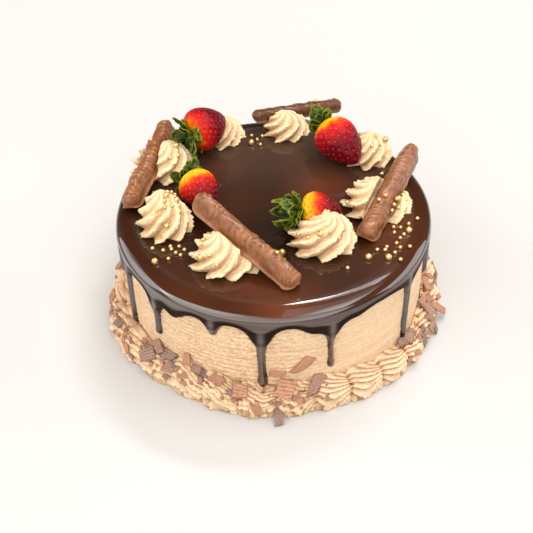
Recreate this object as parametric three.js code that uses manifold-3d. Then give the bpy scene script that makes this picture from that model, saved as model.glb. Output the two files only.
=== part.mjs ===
// A round chocolate sponge cake: a cream-covered drum under a dripping mirror glaze, a piped border with
// chocolate flakes round its foot, and on top eight piped swirls, four coated fingers and four
// strawberries. Millimetres, +Z up, with the origin at the centre of the underside.

import * as THREE from 'three';
import { mergeVertices } from 'three/addons/utils/BufferGeometryUtils.js';
import Module from 'manifold-3d';

const wasm = await Module();
wasm.setup();

// Driving sizes
const GAP = 0.3;
const CAKE_RADIUS = 104.5;
const CAKE_TOP = 81.7;
const CAKE_EDGE = 3;
const GLAZE_TOP = 84;
const GLAZE_RADIUS = 107.1;
const GLAZE_SHOULDER = 6;
const GLAZE_COLUMNS = 84;
const ROUND_SEGMENTS = 60;
const SKIRT_Z = 72.5;
const TABLE_TOP = GLAZE_TOP + GAP;
const WALL_RADIUS = CAKE_RADIUS + GAP;

// Lobes of the skirt's lower edge: angle in degrees, how far they sag, half width in degrees
const LOBES = [
  [-168, 5, 4], [-156, 6, 4], [-136.5, 11, 4], [-127, 9, 5], [-112, 4, 3.5], [-95, 13, 5], [-78, 6, 4],
  [-70.5, 11, 5], [-61, 3, 4], [-35, 5, 9], [-12, 6, 5], [14, 9, 5], [41, 5, 5], [66, 8, 5], [92, 10, 5],
  [117, 6, 4], [143, 9, 5], [160, 4, 6],
];

// Drips: angle in degrees, height of the tip, width
const DRIPS = [
  [-168.5, 45, 3.6], [-156, 18, 4.2], [-136.5, 36, 4.2], [-112, 60, 4.6], [-95, 17.4, 5.4],
  [-70.5, 30, 4], [-35, 16, 4.4], [-12, 40, 4], [14, 22, 4.5], [41, 52, 4], [66, 30, 4.4], [92, 19, 5],
  [117, 48, 4], [143, 27, 4.6],
];
const DRIP_DEPTH = 2.7;
const DRIP_ROOT = 7;
const DRIP_SIDES = 5;

// Border: a chain of piped shells round the foot, each with a full head and a slim tail
const SHELLS = 28;
const SHELL_STEPS = [0.03, 0.25, 0.65];
const STRANDS = 3;
const BORDER_REACH = 13;
const BORDER_HEIGHT = 21;
// Where it is wider or narrower and where it is higher or lower: angle, amount, half width in degrees
const BORDER_SPREADS = [
  [-160, 4.5, 15], [-124, -2, 13], [-101, 1.5, 8], [-73, -1.5, 9], [-42, 2, 12], [10, 3, 30], [80, 3, 45],
  [150, 3, 30],
];
const BORDER_SWELLS = [[-121, 6, 20], [-74, 4.5, 15], [-32, -4, 14], [60, -2, 40], [150, -1, 30]];

// Chocolate flakes on the border: angle, share of the way down from the wall, length, width, turn from
// pointing outwards, extra lean outwards and lift, with all angles in degrees
const FLAKES = [
  { angle: -174, share: 0.56, long: 9, wide: 7, turn: -72, lean: 0, lift: 0 },
  { angle: -158.5, share: 0.44, long: 8, wide: 6, turn: -74, lean: 0, lift: 0.5 },
  { angle: -148.5, share: 0.72, long: 8, wide: 5, turn: 60, lean: 0, lift: 0 },
  { angle: -138.5, share: 0.46, long: 13, wide: 9.5, turn: -42, lean: 5, lift: 1 },
  { angle: -136.5, share: 0.08, long: 11, wide: 6, turn: 64, lean: 30, lift: 2.5 },
  { angle: -131, share: 0.06, long: 10, wide: 8, turn: -84, lean: 20, lift: 2.5 },
  { angle: -129.5, share: 0.46, long: 10, wide: 7, turn: -78, lean: 0, lift: 0.5 },
  { angle: -123, share: 0.06, long: 7, wide: 6, turn: 20, lean: 55, lift: 4 },
  { angle: -119, share: 0.08, long: 7.5, wide: 5, turn: -86, lean: 10, lift: 1 },
  { angle: -110, share: 0.16, long: 9, wide: 6, turn: 70, lean: 0, lift: 0.5 },
  { angle: -102, share: 0.3, long: 10, wide: 10, turn: 86, lean: 5, lift: 1 },
  { angle: -96.5, share: 0.8, long: 11, wide: 5.5, turn: 16, lean: 0, lift: 0 },
  { angle: -89.5, share: 0.96, long: 16, wide: 5.5, turn: 2, lean: -55, lift: 0 },
  { angle: -87, share: 0.24, long: 12, wide: 12, turn: 78, lean: 10, lift: 1.5 },
  { angle: -83, share: 0.58, long: 6.5, wide: 5, turn: 26, lean: 0, lift: 0.5 },
  { angle: -76.5, share: 0.2, long: 16, wide: 7, turn: -42, lean: 10, lift: 1 },
  { angle: -38, share: 0.08, long: 7, wide: 5, turn: 72, lean: 20, lift: 2.5 },
  { angle: -28.5, share: 0.74, long: 11, wide: 5.5, turn: 0, lean: 10, lift: 0.5 },
  { angle: -20.5, share: 0.9, long: 17, wide: 5.5, turn: 8, lean: -10, lift: 0.5 },
  { angle: -18, share: 0.2, long: 15, wide: 6, turn: -26, lean: 10, lift: 1.5 },
  { angle: -13, share: 0.62, long: 26, wide: 7, turn: 14, lean: -12, lift: 1.5 },
  { angle: -8, share: 0.08, long: 12, wide: 5.5, turn: -70, lean: 25, lift: 3 },
  { angle: 0, share: 0.5, long: 12, wide: 8, turn: 50, lean: 5, lift: 0.5 },
  { angle: 52, share: 0.5, long: 11, wide: 7, turn: 40, lean: 5, lift: 0.5 },
  { angle: 98, share: 0.4, long: 14, wide: 7, turn: 75, lean: 10, lift: 0.5 },
  { angle: 137, share: 0.6, long: 9, wide: 7, turn: 15, lean: 0, lift: 0.5 },
  { angle: 171, share: 0.35, long: 12, wide: 6, turn: 60, lean: 10, lift: 1 },
];
// Two more, pressed flat into the side of the cake: angle, height, length, width and turn
const SIDE_FLAKES = [
  { angle: -81, z: 37, long: 18, wide: 7, turn: -42 },
  { angle: -89.5, z: 31, long: 11, wide: 5, turn: 84 },
];
const FLAKE_THICK = 1.9;

// Swirls: centre, width and depth, height, lean of the peak, turn of the first ridge
const SWIRLS = [
  { x: -30.5, y: -55.5, wide: 49, deep: 41, tall: 21, leanX: -5, leanY: 3, turn: 0.2 },
  { x: -72, y: -20.5, wide: 39, deep: 36, tall: 25, leanX: -2, leanY: 8, turn: 0.5 },
  { x: -78, y: 44.5, wide: 48, deep: 42, tall: 20, leanX: 4, leanY: 4, turn: 0.1 },
  { x: -38, y: 82, wide: 37, deep: 35, tall: 17, leanX: 3, leanY: 1, turn: 0.7 },
  { x: 11, y: 88, wide: 35, deep: 33, tall: 18, leanX: -3, leanY: 0, turn: 0.3 },
  { x: 68, y: 54, wide: 37, deep: 36, tall: 19, leanX: 1, leanY: 2, turn: 0.6 },
  { x: 70, y: -3, wide: 48, deep: 45, tall: 19, leanX: -3, leanY: 4, turn: 0.4 },
  { x: 31, y: -39, wide: 47, deep: 40, tall: 21, leanX: 7, leanY: 3, turn: 0.0 },
];
const SWIRL_RIDGES = 8;
const SWIRL_TWIST = 2.2;
const SWIRL_CUT = 0.25;
const SWIRL_RINGS = 8;

// Fingers: centre of each end, width and height of the section, roll about their length
const FINGERS = [
  { low: [-98, -6, 8], high: [-76, 84, 12.5], wide: 15, tall: 12.5, roll: -0.22 },
  { low: [15, -83, 5.4], high: [-49, -26, 30], wide: 15, tall: 12.5, roll: 0.05 },
  { low: [59, -41.5, 6.8], high: [98, 38, 20], wide: 16.5, tall: 13, roll: 0.2 },
  { low: [-14, 90, 13], high: [53, 114, 6.8], wide: 12, tall: 8.5, roll: 0 },
];
const FINGER_RINGS = 9;

// Strawberries: middle of the cap, the tip, the largest radius, the leaves' length, how far they curl back
// and the turn of the first one
const BERRIES = [
  { cap: [-58.5, 58, 18.5], tip: [-34, 78.5, 20], radius: 15.9, leaf: 17, curl: 0.1, turn: 0.3 },
  { cap: [38, 66, 20.5], tip: [60, 35.5, 8.5], radius: 15.4, leaf: 15, curl: 0.8, turn: 0.9 },
  { cap: [18, -23.5, 14], tip: [45, -21.5, 12.5], radius: 12.8, leaf: 19, curl: 0.9, turn: 0.4 },
  { cap: [-55.5, 13.5, 14.5], tip: [-41, -12.5, 12.8], radius: 13.2, leaf: 14, curl: 0.3, turn: -0.25 },
];
const BERRY_RINGS = 8;
const BERRY_COLUMNS = 12;
const LEAVES = 6;
const LEAF_THICK = 0.8;
const LEAF_ROOT = 3;
const LEAF_FOLD = 0.3;

// Sugar pearls: small ones, and every so many a large one
const PEARL_SMALL = 1.35;
const PEARL_LARGE = 2.2;
const PEARL_RISE = 0.65;
const CORNER_DOWN = Math.atan((Math.sqrt(5) - 1) / 2);
const GOLDEN_ANGLE = Math.PI * (3 - Math.sqrt(5));
const PEARLS_ON_GLAZE = [
  { x: -65, y: -42, spread: 8, count: 7 },
  { x: -70, y: -50, spread: 12, count: 5 },
  { x: 83, y: -29, spread: 10, count: 7 },
  { x: 75, y: -50, spread: 10, count: 6 },
  { x: 57, y: -50, spread: 8, count: 4 },
  { x: 94, y: -17, spread: 4, count: 2 },
  { x: 11, y: -49, spread: 9, count: 6 },
  { x: -12, y: 92, spread: 8, count: 6 },
  { x: 75, y: 33, spread: 5, count: 3 },
  { x: 47, y: -65, spread: 1, count: 1 },
];
// On swirls: which, the first and last direction in degrees, and how far up, from base 0 to peak 1
const PEARLS_ON_SWIRLS = [
  { swirl: 0, from: -190, to: -95, low: 0.3, high: 0.75, count: 5 },
  { swirl: 1, from: -110, to: 60, low: 0.3, high: 0.9, count: 13 },
  { swirl: 5, from: -100, to: 30, low: 0.3, high: 0.7, count: 3 },
  { swirl: 6, from: -60, to: 20, low: 0.2, high: 0.6, count: 6 },
  { swirl: 6, from: 185, to: 230, low: 0.3, high: 0.6, count: 2 },
  { swirl: 7, from: -170, to: -20, low: 0.35, high: 0.85, count: 6 },
];
// On fingers: which, the share of the length and the shift across
const PEARLS_ON_FINGERS = [
  { finger: 0, share: 0.68, across: 1 },
  { finger: 1, share: 0.25, across: -2 },
  { finger: 2, share: 0.36, across: 0 },
  { finger: 2, share: 0.3, across: 2.4 },
  { finger: 3, share: 0.7, across: 0 },
];

// A repeatable draw from 0 to 1 for a whole number
function draw(n) {
  const wave = Math.sin(n * 12.9898 + 4.1414) * 43758.5453;
  return wave - Math.floor(wave);
}

function onCircle(radius, angle, z) {
  return new THREE.Vector3(radius * Math.cos(angle), radius * Math.sin(angle), z);
}

// Closed skin over rings of points, from a first pole to a last one. Rings run anticlockwise seen from the
// last pole. From the ring numbered turnedFrom on, quads are split along their other diagonal.
function skinOverRings(first, rings, last, turnedFrom = Infinity) {
  const count = rings[0].length;
  const points = [first, ...rings.flat(), last];
  const at = (ring, column) => 1 + ring * count + (column % count);
  const faces = [];
  for (let j = 0; j < count; j += 1) {
    faces.push(0, at(0, j + 1), at(0, j));
    faces.push(points.length - 1, at(rings.length - 1, j), at(rings.length - 1, j + 1));
    for (let i = 0; i + 1 < rings.length; i += 1) {
      const corners = [at(i, j), at(i, j + 1), at(i + 1, j + 1), at(i + 1, j)];
      const [a, b, c, d] = i < turnedFrom ? corners : [...corners.slice(1), corners[0]];
      faces.push(a, b, c, a, c, d);
    }
  }
  return fromPoints(points, faces);
}

// Closed skin over a ring of closed sections
function skinRoundRing(sections) {
  const count = sections[0].length;
  const at = (i, j) => (i % sections.length) * count + (j % count);
  const faces = [];
  for (let i = 0; i < sections.length; i += 1) {
    for (let j = 0; j < count; j += 1) {
      faces.push(at(i, j), at(i + 1, j), at(i + 1, j + 1));
      faces.push(at(i, j), at(i + 1, j + 1), at(i, j + 1));
    }
  }
  return fromPoints(sections.flat(), faces);
}

function fromPoints(points, faces) {
  const geometry = new THREE.BufferGeometry().setFromPoints(points);
  geometry.setIndex(faces);
  return geometry;
}

function toSolid(geometry) {
  const vertProperties = new Float32Array(geometry.getAttribute('position').array);
  const triVerts = new Uint32Array(geometry.getIndex().array);
  return new wasm.Manifold(new wasm.Mesh({ numProp: 3, vertProperties, triVerts }));
}

// A solid from one of three's own shapes, whose corners are first merged
function plainSolid(geometry) {
  geometry.deleteAttribute('normal');
  geometry.deleteAttribute('uv');
  return toSolid(mergeVertices(geometry));
}

function toGeometry(solid) {
  const mesh = solid.getMesh();
  const geometry = new THREE.BufferGeometry();
  geometry.setAttribute('position', new THREE.BufferAttribute(mesh.vertProperties, 3));
  geometry.setIndex(new THREE.BufferAttribute(mesh.triVerts, 1));
  return geometry;
}

function joined(solid, others) {
  return others.reduce((sum, other) => sum.add(other), solid);
}

function without(solid, others) {
  return others.reduce((rest, other) => rest.subtract(other), solid);
}

function largestPiece(solid) {
  const pieces = solid.decompose();
  return pieces.reduce((best, piece) => (piece.volume() > best.volume() ? piece : best));
}

// The drum: straight side, its top edge cut back
function drumGeometry(radius) {
  const profile = [
    new THREE.Vector2(0, 0),
    new THREE.Vector2(radius, 0),
    new THREE.Vector2(radius, CAKE_TOP - CAKE_EDGE),
    new THREE.Vector2(radius - CAKE_EDGE, CAKE_TOP),
    new THREE.Vector2(0, CAKE_TOP),
  ];
  return new THREE.LatheGeometry(profile, ROUND_SEGMENTS).rotateX(Math.PI / 2);
}

// Sum of bells round the circle, each with its angle, height and half width, in degrees
function bells(list, degrees) {
  return list.reduce((sum, [angle, height, half]) => {
    const away = THREE.MathUtils.euclideanModulo(degrees - angle + 180, 360) - 180;
    return sum + height * Math.exp(-((away / half) ** 2));
  }, 0);
}

// Height of the skirt's lower edge at an angle
function skirtEdge(degrees) {
  return SKIRT_Z - bells(LOBES, degrees);
}

// The glaze: up the inside, round the sagging edge, up the outside and over the round shoulder
function glazeSkin() {
  const shape = [
    () => [WALL_RADIUS - CAKE_EDGE, CAKE_TOP + GAP],
    () => [WALL_RADIUS, CAKE_TOP - CAKE_EDGE + GAP],
    (edge) => [WALL_RADIUS, edge + 0.8],
    (edge) => [GLAZE_RADIUS - 0.6, edge],
    (edge) => [GLAZE_RADIUS, edge + 2.5],
    () => [GLAZE_RADIUS, GLAZE_TOP - GLAZE_SHOULDER * 0.75],
    () => [GLAZE_RADIUS - GLAZE_SHOULDER * 0.3, GLAZE_TOP - GLAZE_SHOULDER * 0.22],
    () => [GLAZE_RADIUS - GLAZE_SHOULDER * 1.3, GLAZE_TOP],
  ];
  const rings = shape.map((place) =>
    Array.from({ length: GLAZE_COLUMNS }, (_, column) => {
      const degrees = (column * 360) / GLAZE_COLUMNS;
      const [radius, z] = place(skirtEdge(degrees));
      return onCircle(radius, THREE.MathUtils.degToRad(degrees), z);
    }));
  const inside = new THREE.Vector3(0, 0, CAKE_TOP + GAP);
  return skinOverRings(inside, rings, new THREE.Vector3(0, 0, GLAZE_TOP));
}

// A drip: half-round sections on the wall, wide at the root, slim down its run, with a bead at the tip
function dripSkin([angle, tip, width], grow = 0) {
  const top = skirtEdge(angle) + DRIP_ROOT;
  const run = top - tip;
  const bead = width * 1.1;
  const levels = [
    [top, width * 2.2, DRIP_DEPTH * 0.6],
    [top - DRIP_ROOT, width * 1.7, DRIP_DEPTH * 0.8],
    [top - DRIP_ROOT - run * 0.12, width * 1.05, DRIP_DEPTH * 0.8],
    [tip + bead * 1.6, width * 0.86, DRIP_DEPTH * 0.75],
    [tip + bead * 0.8, width * 1.08, DRIP_DEPTH],
    [tip + bead * 0.25, width * 0.75, DRIP_DEPTH * 0.75],
  ];
  const turn = THREE.MathUtils.degToRad(angle);
  const out = onCircle(1, turn, 0);
  const side = onCircle(1, turn + Math.PI / 2, 0);
  const place = (across, depth, z) =>
    out.clone().multiplyScalar(WALL_RADIUS + depth).addScaledVector(side, across).setZ(z);
  const rings = levels.reverse().map(([z, wide, deep]) =>
    Array.from({ length: DRIP_SIDES }, (_, k) => {
      const round = (k * Math.PI) / (DRIP_SIDES - 1) - Math.PI / 2;
      return place((wide / 2 + grow) * Math.sin(round), (deep + grow) * Math.cos(round), z);
    }));
  const start = place(0, DRIP_DEPTH * 0.4, tip - grow);
  return skinOverRings(start, rings, place(0, DRIP_DEPTH * 0.3, top));
}

// One point of the border, at a place counted in shells and a share of the way from the wall down to the
// floor: a quarter round whose size follows the shell's head and tail, grooved between its strands.
function borderPoint(place, share) {
  const phase = place - Math.floor(place);
  const body = 0.82 + 0.18 * Math.sin(Math.PI * phase ** 0.55);
  const strand = 0.87 + 0.13 * Math.abs(Math.sin(Math.PI * STRANDS * share)) ** 0.8;
  const degrees = (place * 360) / SHELLS;
  const uneven = 0.94 + 0.1 * draw(Math.floor(place) % SHELLS);
  const wide = (BORDER_REACH + bells(BORDER_SPREADS, degrees)) * body * strand * uneven;
  const tall = (BORDER_HEIGHT + bells(BORDER_SWELLS, degrees)) * body * strand;
  const quarter = (share * Math.PI) / 2;
  const radius = WALL_RADIUS + wide * Math.sin(quarter) ** 0.65;
  const rise = share === 1 ? 0 : tall * Math.cos(quarter) ** 0.65;
  return onCircle(radius, THREE.MathUtils.degToRad(degrees), rise);
}

function borderSkin() {
  const shares = Array.from({ length: STRANDS * 2 + 1 }, (_, k) => k / (STRANDS * 2));
  const sections = [];
  for (let shell = 0; shell < SHELLS; shell += 1) {
    SHELL_STEPS.forEach((step) => {
      const place = shell + step;
      const inner = borderPoint(place, 0).setZ(0);
      sections.push([inner, ...shares.map((share) => borderPoint(place, share)).reverse()]);
    });
  }
  return skinRoundRing(sections);
}

// A flake: a thin slab that slopes outwards, turned in its own plane, and never below the floor
function slab(centre, { angle, long, wide, turn }, slope) {
  const flake = new THREE.Object3D();
  flake.rotation.set(0, THREE.MathUtils.degToRad(slope), THREE.MathUtils.degToRad(angle), 'ZYX');
  flake.rotateZ(THREE.MathUtils.degToRad(turn));
  flake.position.copy(centre);
  flake.updateMatrix();
  const geometry = new THREE.BoxGeometry(long, wide, FLAKE_THICK).applyMatrix4(flake.matrix);
  geometry.computeBoundingBox();
  return geometry.translate(0, 0, Math.max(0, GAP - geometry.boundingBox.min.z));
}

function borderFlake(flake) {
  const place = THREE.MathUtils.euclideanModulo(flake.angle / 360, 1) * SHELLS;
  const centre = borderPoint(place, flake.share);
  centre.z += flake.lift;
  return plainSolid(slab(centre, flake, 90 * flake.share + flake.lean));
}

function sideFlake(flake) {
  const centre = onCircle(CAKE_RADIUS + FLAKE_THICK / 4, THREE.MathUtils.degToRad(flake.angle), flake.z);
  return plainSolid(slab(centre, flake, 90));
}

// One point of a swirl: a dome of radius cos(t) and height sin(t) drawn up to a peak, with sharp ridges
// that wind round it as it rises. Angle 0 is a ridge.
function swirlPoint(swirl, t, angle, grow = 0) {
  const quarter = (t * Math.PI) / 2;
  const cut = SWIRL_CUT * (1 - 0.5 * t) * Math.abs(Math.sin((SWIRL_RIDGES * angle) / 2));
  const reach = Math.cos(quarter) ** 0.8 * (1 - cut);
  const turned = angle + swirl.turn + SWIRL_TWIST * t;
  const rise = swirl.tall * (0.82 * Math.sin(quarter) + 0.18 * t ** 4);
  return new THREE.Vector3(
    swirl.x + (swirl.wide / 2 * reach + grow) * Math.cos(turned) + swirl.leanX * t ** 2,
    swirl.y + (swirl.deep / 2 * reach + grow) * Math.sin(turned) + swirl.leanY * t ** 2,
    TABLE_TOP + rise + grow * t,
  );
}

// The rings turn as they rise, so their quads are split along the other, shorter diagonal
function swirlSkin(swirl, grow = 0) {
  const columns = SWIRL_RIDGES * 2;
  const rings = Array.from({ length: SWIRL_RINGS }, (_, ring) =>
    Array.from({ length: columns }, (_unused, column) =>
      swirlPoint(swirl, (ring / SWIRL_RINGS) ** 0.85, (column * Math.PI * 2) / columns, grow)));
  const base = new THREE.Vector3(swirl.x, swirl.y, TABLE_TOP);
  return skinOverRings(base, rings, swirlPoint(swirl, 1, 0, grow), 0);
}

function onTop([x, y, above]) {
  return new THREE.Vector3(x, y, GLAZE_TOP + above);
}

// Frame of a finger: along it, up across it and sideways, rolled about its length
function fingerFrame({ low, high, roll }) {
  const along = onTop(high).sub(onTop(low)).normalize();
  const up = new THREE.Vector3(0, 0, 1).addScaledVector(along, -along.z).normalize();
  up.applyAxisAngle(along, roll);
  return { along, up, side: up.clone().cross(along) };
}

// A finger: a flat base with a thin foot, a rounded back, and both ends drawn in to a round nose
function fingerSkin(finger, grow = 0) {
  const { along, up, side } = fingerFrame(finger);
  const half = finger.wide / 2;
  const outline = [
    [half, 0], [half, 0.13], [half * 0.86, 0.22], [half * 0.84, 0.55], [half * 0.62, 0.86], [half * 0.22, 1],
  ];
  const section = [...outline, ...outline.map(([x, y]) => [-x, y]).reverse()];
  const start = onTop(finger.low);
  const length = onTop(finger.high).distanceTo(start);
  const place = (distance, across, height, scale) =>
    start.clone().addScaledVector(along, distance)
      .addScaledVector(side, across * scale)
      .addScaledVector(up, (height - 0.5) * finger.tall * scale);
  const rings = Array.from({ length: FINGER_RINGS }, (_, ring) => {
    const nose = (1 - Math.cos((Math.PI * ring) / (FINGER_RINGS - 1))) / 2;
    const distance = length * (0.01 + 0.98 * nose);
    const fromEnd = Math.min(distance, length - distance) / half;
    const scale = fromEnd < 1 ? Math.sqrt(1 - (1 - fromEnd) ** 2) * 0.75 + 0.25 : 1;
    const wave = 1 + 0.03 * (draw(ring + finger.wide) - 0.5);
    return section.map(([x, y]) =>
      place(distance, x + Math.sign(x) * grow, y * wave + (y > 0 ? grow : -grow) / finger.tall, scale));
  });
  return skinOverRings(place(-grow, 0, 0.5, 1), rings, place(length + grow, 0, 0.5, 1));
}

// Frame of a strawberry: from cap to tip, with two directions across it
function berryFrame({ cap, tip }) {
  const start = onTop(cap);
  const along = onTop(tip).sub(start);
  const length = along.length();
  along.normalize();
  const across = new THREE.Vector3(0, 0, 1).cross(along).normalize();
  return { start, along, length, across, over: along.clone().cross(across) };
}

function berryPlace(frame, distance, radius, angle) {
  return frame.start.clone().addScaledVector(frame.along, distance)
    .addScaledVector(frame.across, radius * Math.cos(angle))
    .addScaledVector(frame.over, radius * Math.sin(angle));
}

// Share of the largest radius at a share s of the length: a full shoulder that runs out to a cone
function berryWidth(s) {
  return Math.sin(Math.PI * s ** 0.66) ** 0.64;
}

function berrySkin(berry, grow = 0) {
  const frame = berryFrame(berry);
  const rings = Array.from({ length: BERRY_RINGS }, (_, ring) => {
    const s = (1 - Math.cos((Math.PI * (ring + 1)) / (BERRY_RINGS + 1))) / 2;
    const radius = berry.radius * berryWidth(s) + grow;
    return Array.from({ length: BERRY_COLUMNS }, (_unused, column) =>
      berryPlace(frame, frame.length * s, radius, (column * Math.PI * 2) / BERRY_COLUMNS));
  });
  const cap = berryPlace(frame, -grow, 0, 0);
  return skinOverRings(cap, rings, berryPlace(frame, frame.length + grow, 0, 0));
}

// One point of a calyx face, at a share of the way out and an angle round the cap. The star's leaves curl
// back from the berry, every other one further, and stop short of the table.
function calyxPoint(berry, share, angle, offset) {
  const frame = berryFrame(berry);
  const leaf = Math.abs(Math.cos((LEAVES * angle) / 2)) ** 0.8;
  const number = Math.round((angle * LEAVES) / (Math.PI * 2)) % LEAVES;
  const fold = number % 2 ? LEAF_FOLD : -LEAF_FOLD;
  const back = (berry.curl + fold) * (0.4 + 0.6 * leaf) * share;
  const place = (reach, off) =>
    berryPlace(frame, -1 - reach * Math.sin(back) - off * Math.cos(back),
      reach * Math.cos(back) - off * Math.sin(back), angle + berry.turn);
  const fall = frame.start.z - place(1, 0).z;
  const room = fall > 0 ? (frame.start.z - TABLE_TOP - LEAF_THICK * 2) / fall : Infinity;
  const long = Math.min(berry.leaf * (0.78 + 0.3 * draw(number)), room);
  const wave = 0.9 * share ** 2 * Math.sin(LEAVES * 0.5 * angle + berry.leaf);
  return place(share * (LEAF_ROOT + (long - LEAF_ROOT) * leaf), offset + wave);
}

// The calyx: a thin wavy star of leaves that lies off the cap
function calyxSkin(berry) {
  const columns = LEAVES * 4;
  const face = (offset) => (share) =>
    Array.from({ length: columns }, (_, column) =>
      calyxPoint(berry, share, (column * Math.PI * 2) / columns, offset));
  const shares = [0.6, 1];
  const rings = [...shares.map(face(LEAF_THICK)), ...shares.map(face(0)).reverse()];
  return skinOverRings(calyxPoint(berry, 0, 0, LEAF_THICK), rings, calyxPoint(berry, 0, 0, 0), shares.length);
}

function pearlRadius(number) {
  return number % 6 === 2 ? PEARL_LARGE : PEARL_SMALL;
}

// A pearl of twenty faces that stands on one of its corners
function pearlSolid(centre, number) {
  const ball = new THREE.IcosahedronGeometry(pearlRadius(number), 0);
  ball.rotateX(CORNER_DOWN).rotateZ(number).translate(...centre.toArray());
  return plainSolid(ball);
}

// Distance in plan from a point to the line between two ends
function planDistance(x, y, [ax, ay], [bx, by]) {
  const along = ((x - ax) * (bx - ax) + (y - ay) * (by - ay)) / ((bx - ax) ** 2 + (by - ay) ** 2);
  const share = THREE.MathUtils.clamp(along, 0, 1);
  return Math.hypot(x - ax - share * (bx - ax), y - ay - share * (by - ay));
}

function clearOfToppings(x, y, room) {
  const offSwirls = SWIRLS.every((swirl) =>
    ((x - swirl.x) / (swirl.wide / 2 + room)) ** 2 + ((y - swirl.y) / (swirl.deep / 2 + room)) ** 2 > 1);
  const offFingers = FINGERS.every((finger) =>
    planDistance(x, y, finger.low, finger.high) > finger.wide / 2 + room);
  const offBerries = BERRIES.every((berry) => planDistance(x, y, berry.cap, berry.tip) > berry.radius + room);
  return offSwirls && offFingers && offBerries;
}

// Pearls on the glaze: each cluster winds out from its middle by the golden angle
function glazePearls() {
  const pearls = [];
  PEARLS_ON_GLAZE.forEach(({ x, y, spread, count }) => {
    for (let i = 0; i < count; i += 1) {
      const radius = spread * Math.sqrt((i + 0.5) / count);
      const px = x + radius * Math.cos(i * GOLDEN_ANGLE + x);
      const py = y + radius * Math.sin(i * GOLDEN_ANGLE + x);
      if (clearOfToppings(px, py, pearlRadius(i) + GAP)) {
        pearls.push(pearlSolid(new THREE.Vector3(px, py, GLAZE_TOP + pearlRadius(i) * PEARL_RISE), i));
      }
    }
  });
  return pearls;
}

function swirlPearls(index) {
  const pearls = [];
  const spots = PEARLS_ON_SWIRLS.filter(({ swirl }) => swirl === index);
  spots.forEach(({ from, to, low, high, count }) => {
    for (let i = 0; i < count; i += 1) {
      const number = i + Math.round(from);
      const t = low + (high - low) * draw(number);
      const direction = THREE.MathUtils.degToRad(from + ((to - from) * (i + 0.5)) / count);
      const angle = direction - SWIRLS[index].turn - SWIRL_TWIST * t;
      pearls.push(pearlSolid(swirlPoint(SWIRLS[index], t, angle, pearlRadius(i) * PEARL_RISE), i));
    }
  });
  return pearls;
}

function fingerPearls(index) {
  const { along, up, side } = fingerFrame(FINGERS[index]);
  const start = onTop(FINGERS[index].low);
  const length = onTop(FINGERS[index].high).distanceTo(start);
  const lift = FINGERS[index].tall / 2 + PEARL_SMALL * PEARL_RISE;
  return PEARLS_ON_FINGERS.filter(({ finger }) => finger === index).map(({ share, across }, i) =>
    pearlSolid(start.clone().addScaledVector(along, length * share)
      .addScaledVector(up, lift - Math.abs(across) * 0.12)
      .addScaledVector(side, across), i));
}

const fingerSolids = FINGERS.map((finger, i) => joined(toSolid(fingerSkin(finger)), fingerPearls(i)));
const berrySolids = BERRIES.map((berry) => toSolid(berrySkin(berry)));
const grownFingers = FINGERS.map((finger) => toSolid(fingerSkin(finger, GAP)));
const grownBerries = BERRIES.map((berry) => toSolid(berrySkin(berry, GAP)));
const grownSwirls = SWIRLS.map((swirl) => toSolid(swirlSkin(swirl, GAP)));

const swirlSolids = SWIRLS.map((swirl, i) => {
  const cut = without(toSolid(swirlSkin(swirl)), [...grownFingers, ...grownBerries]);
  const pearls = joined(cut, swirlPearls(i));
  return largestPiece(without(pearls, [...grownFingers, ...grownBerries]));
});
const calyxSolids = BERRIES.map((berry) =>
  largestPiece(without(toSolid(calyxSkin(berry)), [...grownFingers, ...grownSwirls])));

const drips = DRIPS.map((drip) => toSolid(dripSkin(drip)));
const glazeSolid = joined(toSolid(glazeSkin()), [...drips, ...glazePearls()]);
const grownDrips = DRIPS.map((drip) => toSolid(dripSkin(drip, GAP)));
const wall = plainSolid(drumGeometry(WALL_RADIUS));
const flakes = FLAKES.map((flake) => borderFlake(flake).subtract(wall));
const cakeSolid = joined(plainSolid(drumGeometry(CAKE_RADIUS)), SIDE_FLAKES.map(sideFlake));
const borderSolid = largestPiece(without(joined(toSolid(borderSkin()), flakes), grownDrips));

function mesh(name, geometry, color, roughness) {
  const shape = geometry;
  shape.computeVertexNormals();
  const material = new THREE.MeshStandardMaterial({ color, roughness, metalness: 0 });
  const piece = new THREE.Mesh(shape, material);
  piece.name = name;
  return piece;
}

const cake = new THREE.Group();
cake.add(mesh('cake', toGeometry(cakeSolid), 0xe6c49a, 0.75));
cake.add(mesh('glaze', toGeometry(glazeSolid), 0x3a2018, 0.12));
cake.add(mesh('border', toGeometry(borderSolid), 0xe8c79b, 0.75));
swirlSolids.forEach((solid, i) => cake.add(mesh(`swirl_${i + 1}`, toGeometry(solid), 0xf0d4a8, 0.7)));
fingerSolids.forEach((solid, i) => cake.add(mesh(`finger_${i + 1}`, toGeometry(solid), 0x8a5438, 0.45)));
berrySolids.forEach((solid, i) => cake.add(mesh(`strawberry_${i + 1}`, toGeometry(solid), 0xb31220, 0.3)));
calyxSolids.forEach((solid, i) => cake.add(mesh(`calyx_${i + 1}`, toGeometry(solid), 0x4f7d22, 0.6)));

export default cake;
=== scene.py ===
"""A round chocolate sponge cake: combed cream under a dripping mirror glaze, a piped border with chocolate
flakes, and on top piped swirls, coated fingers, strawberries and gold sugar pearls.

Lengths are in millimetres until a mesh is made, with +Z up and the origin under the middle of the cake.
"""

import math

import bpy
import numpy as np
from mathutils import Matrix, Vector


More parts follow.
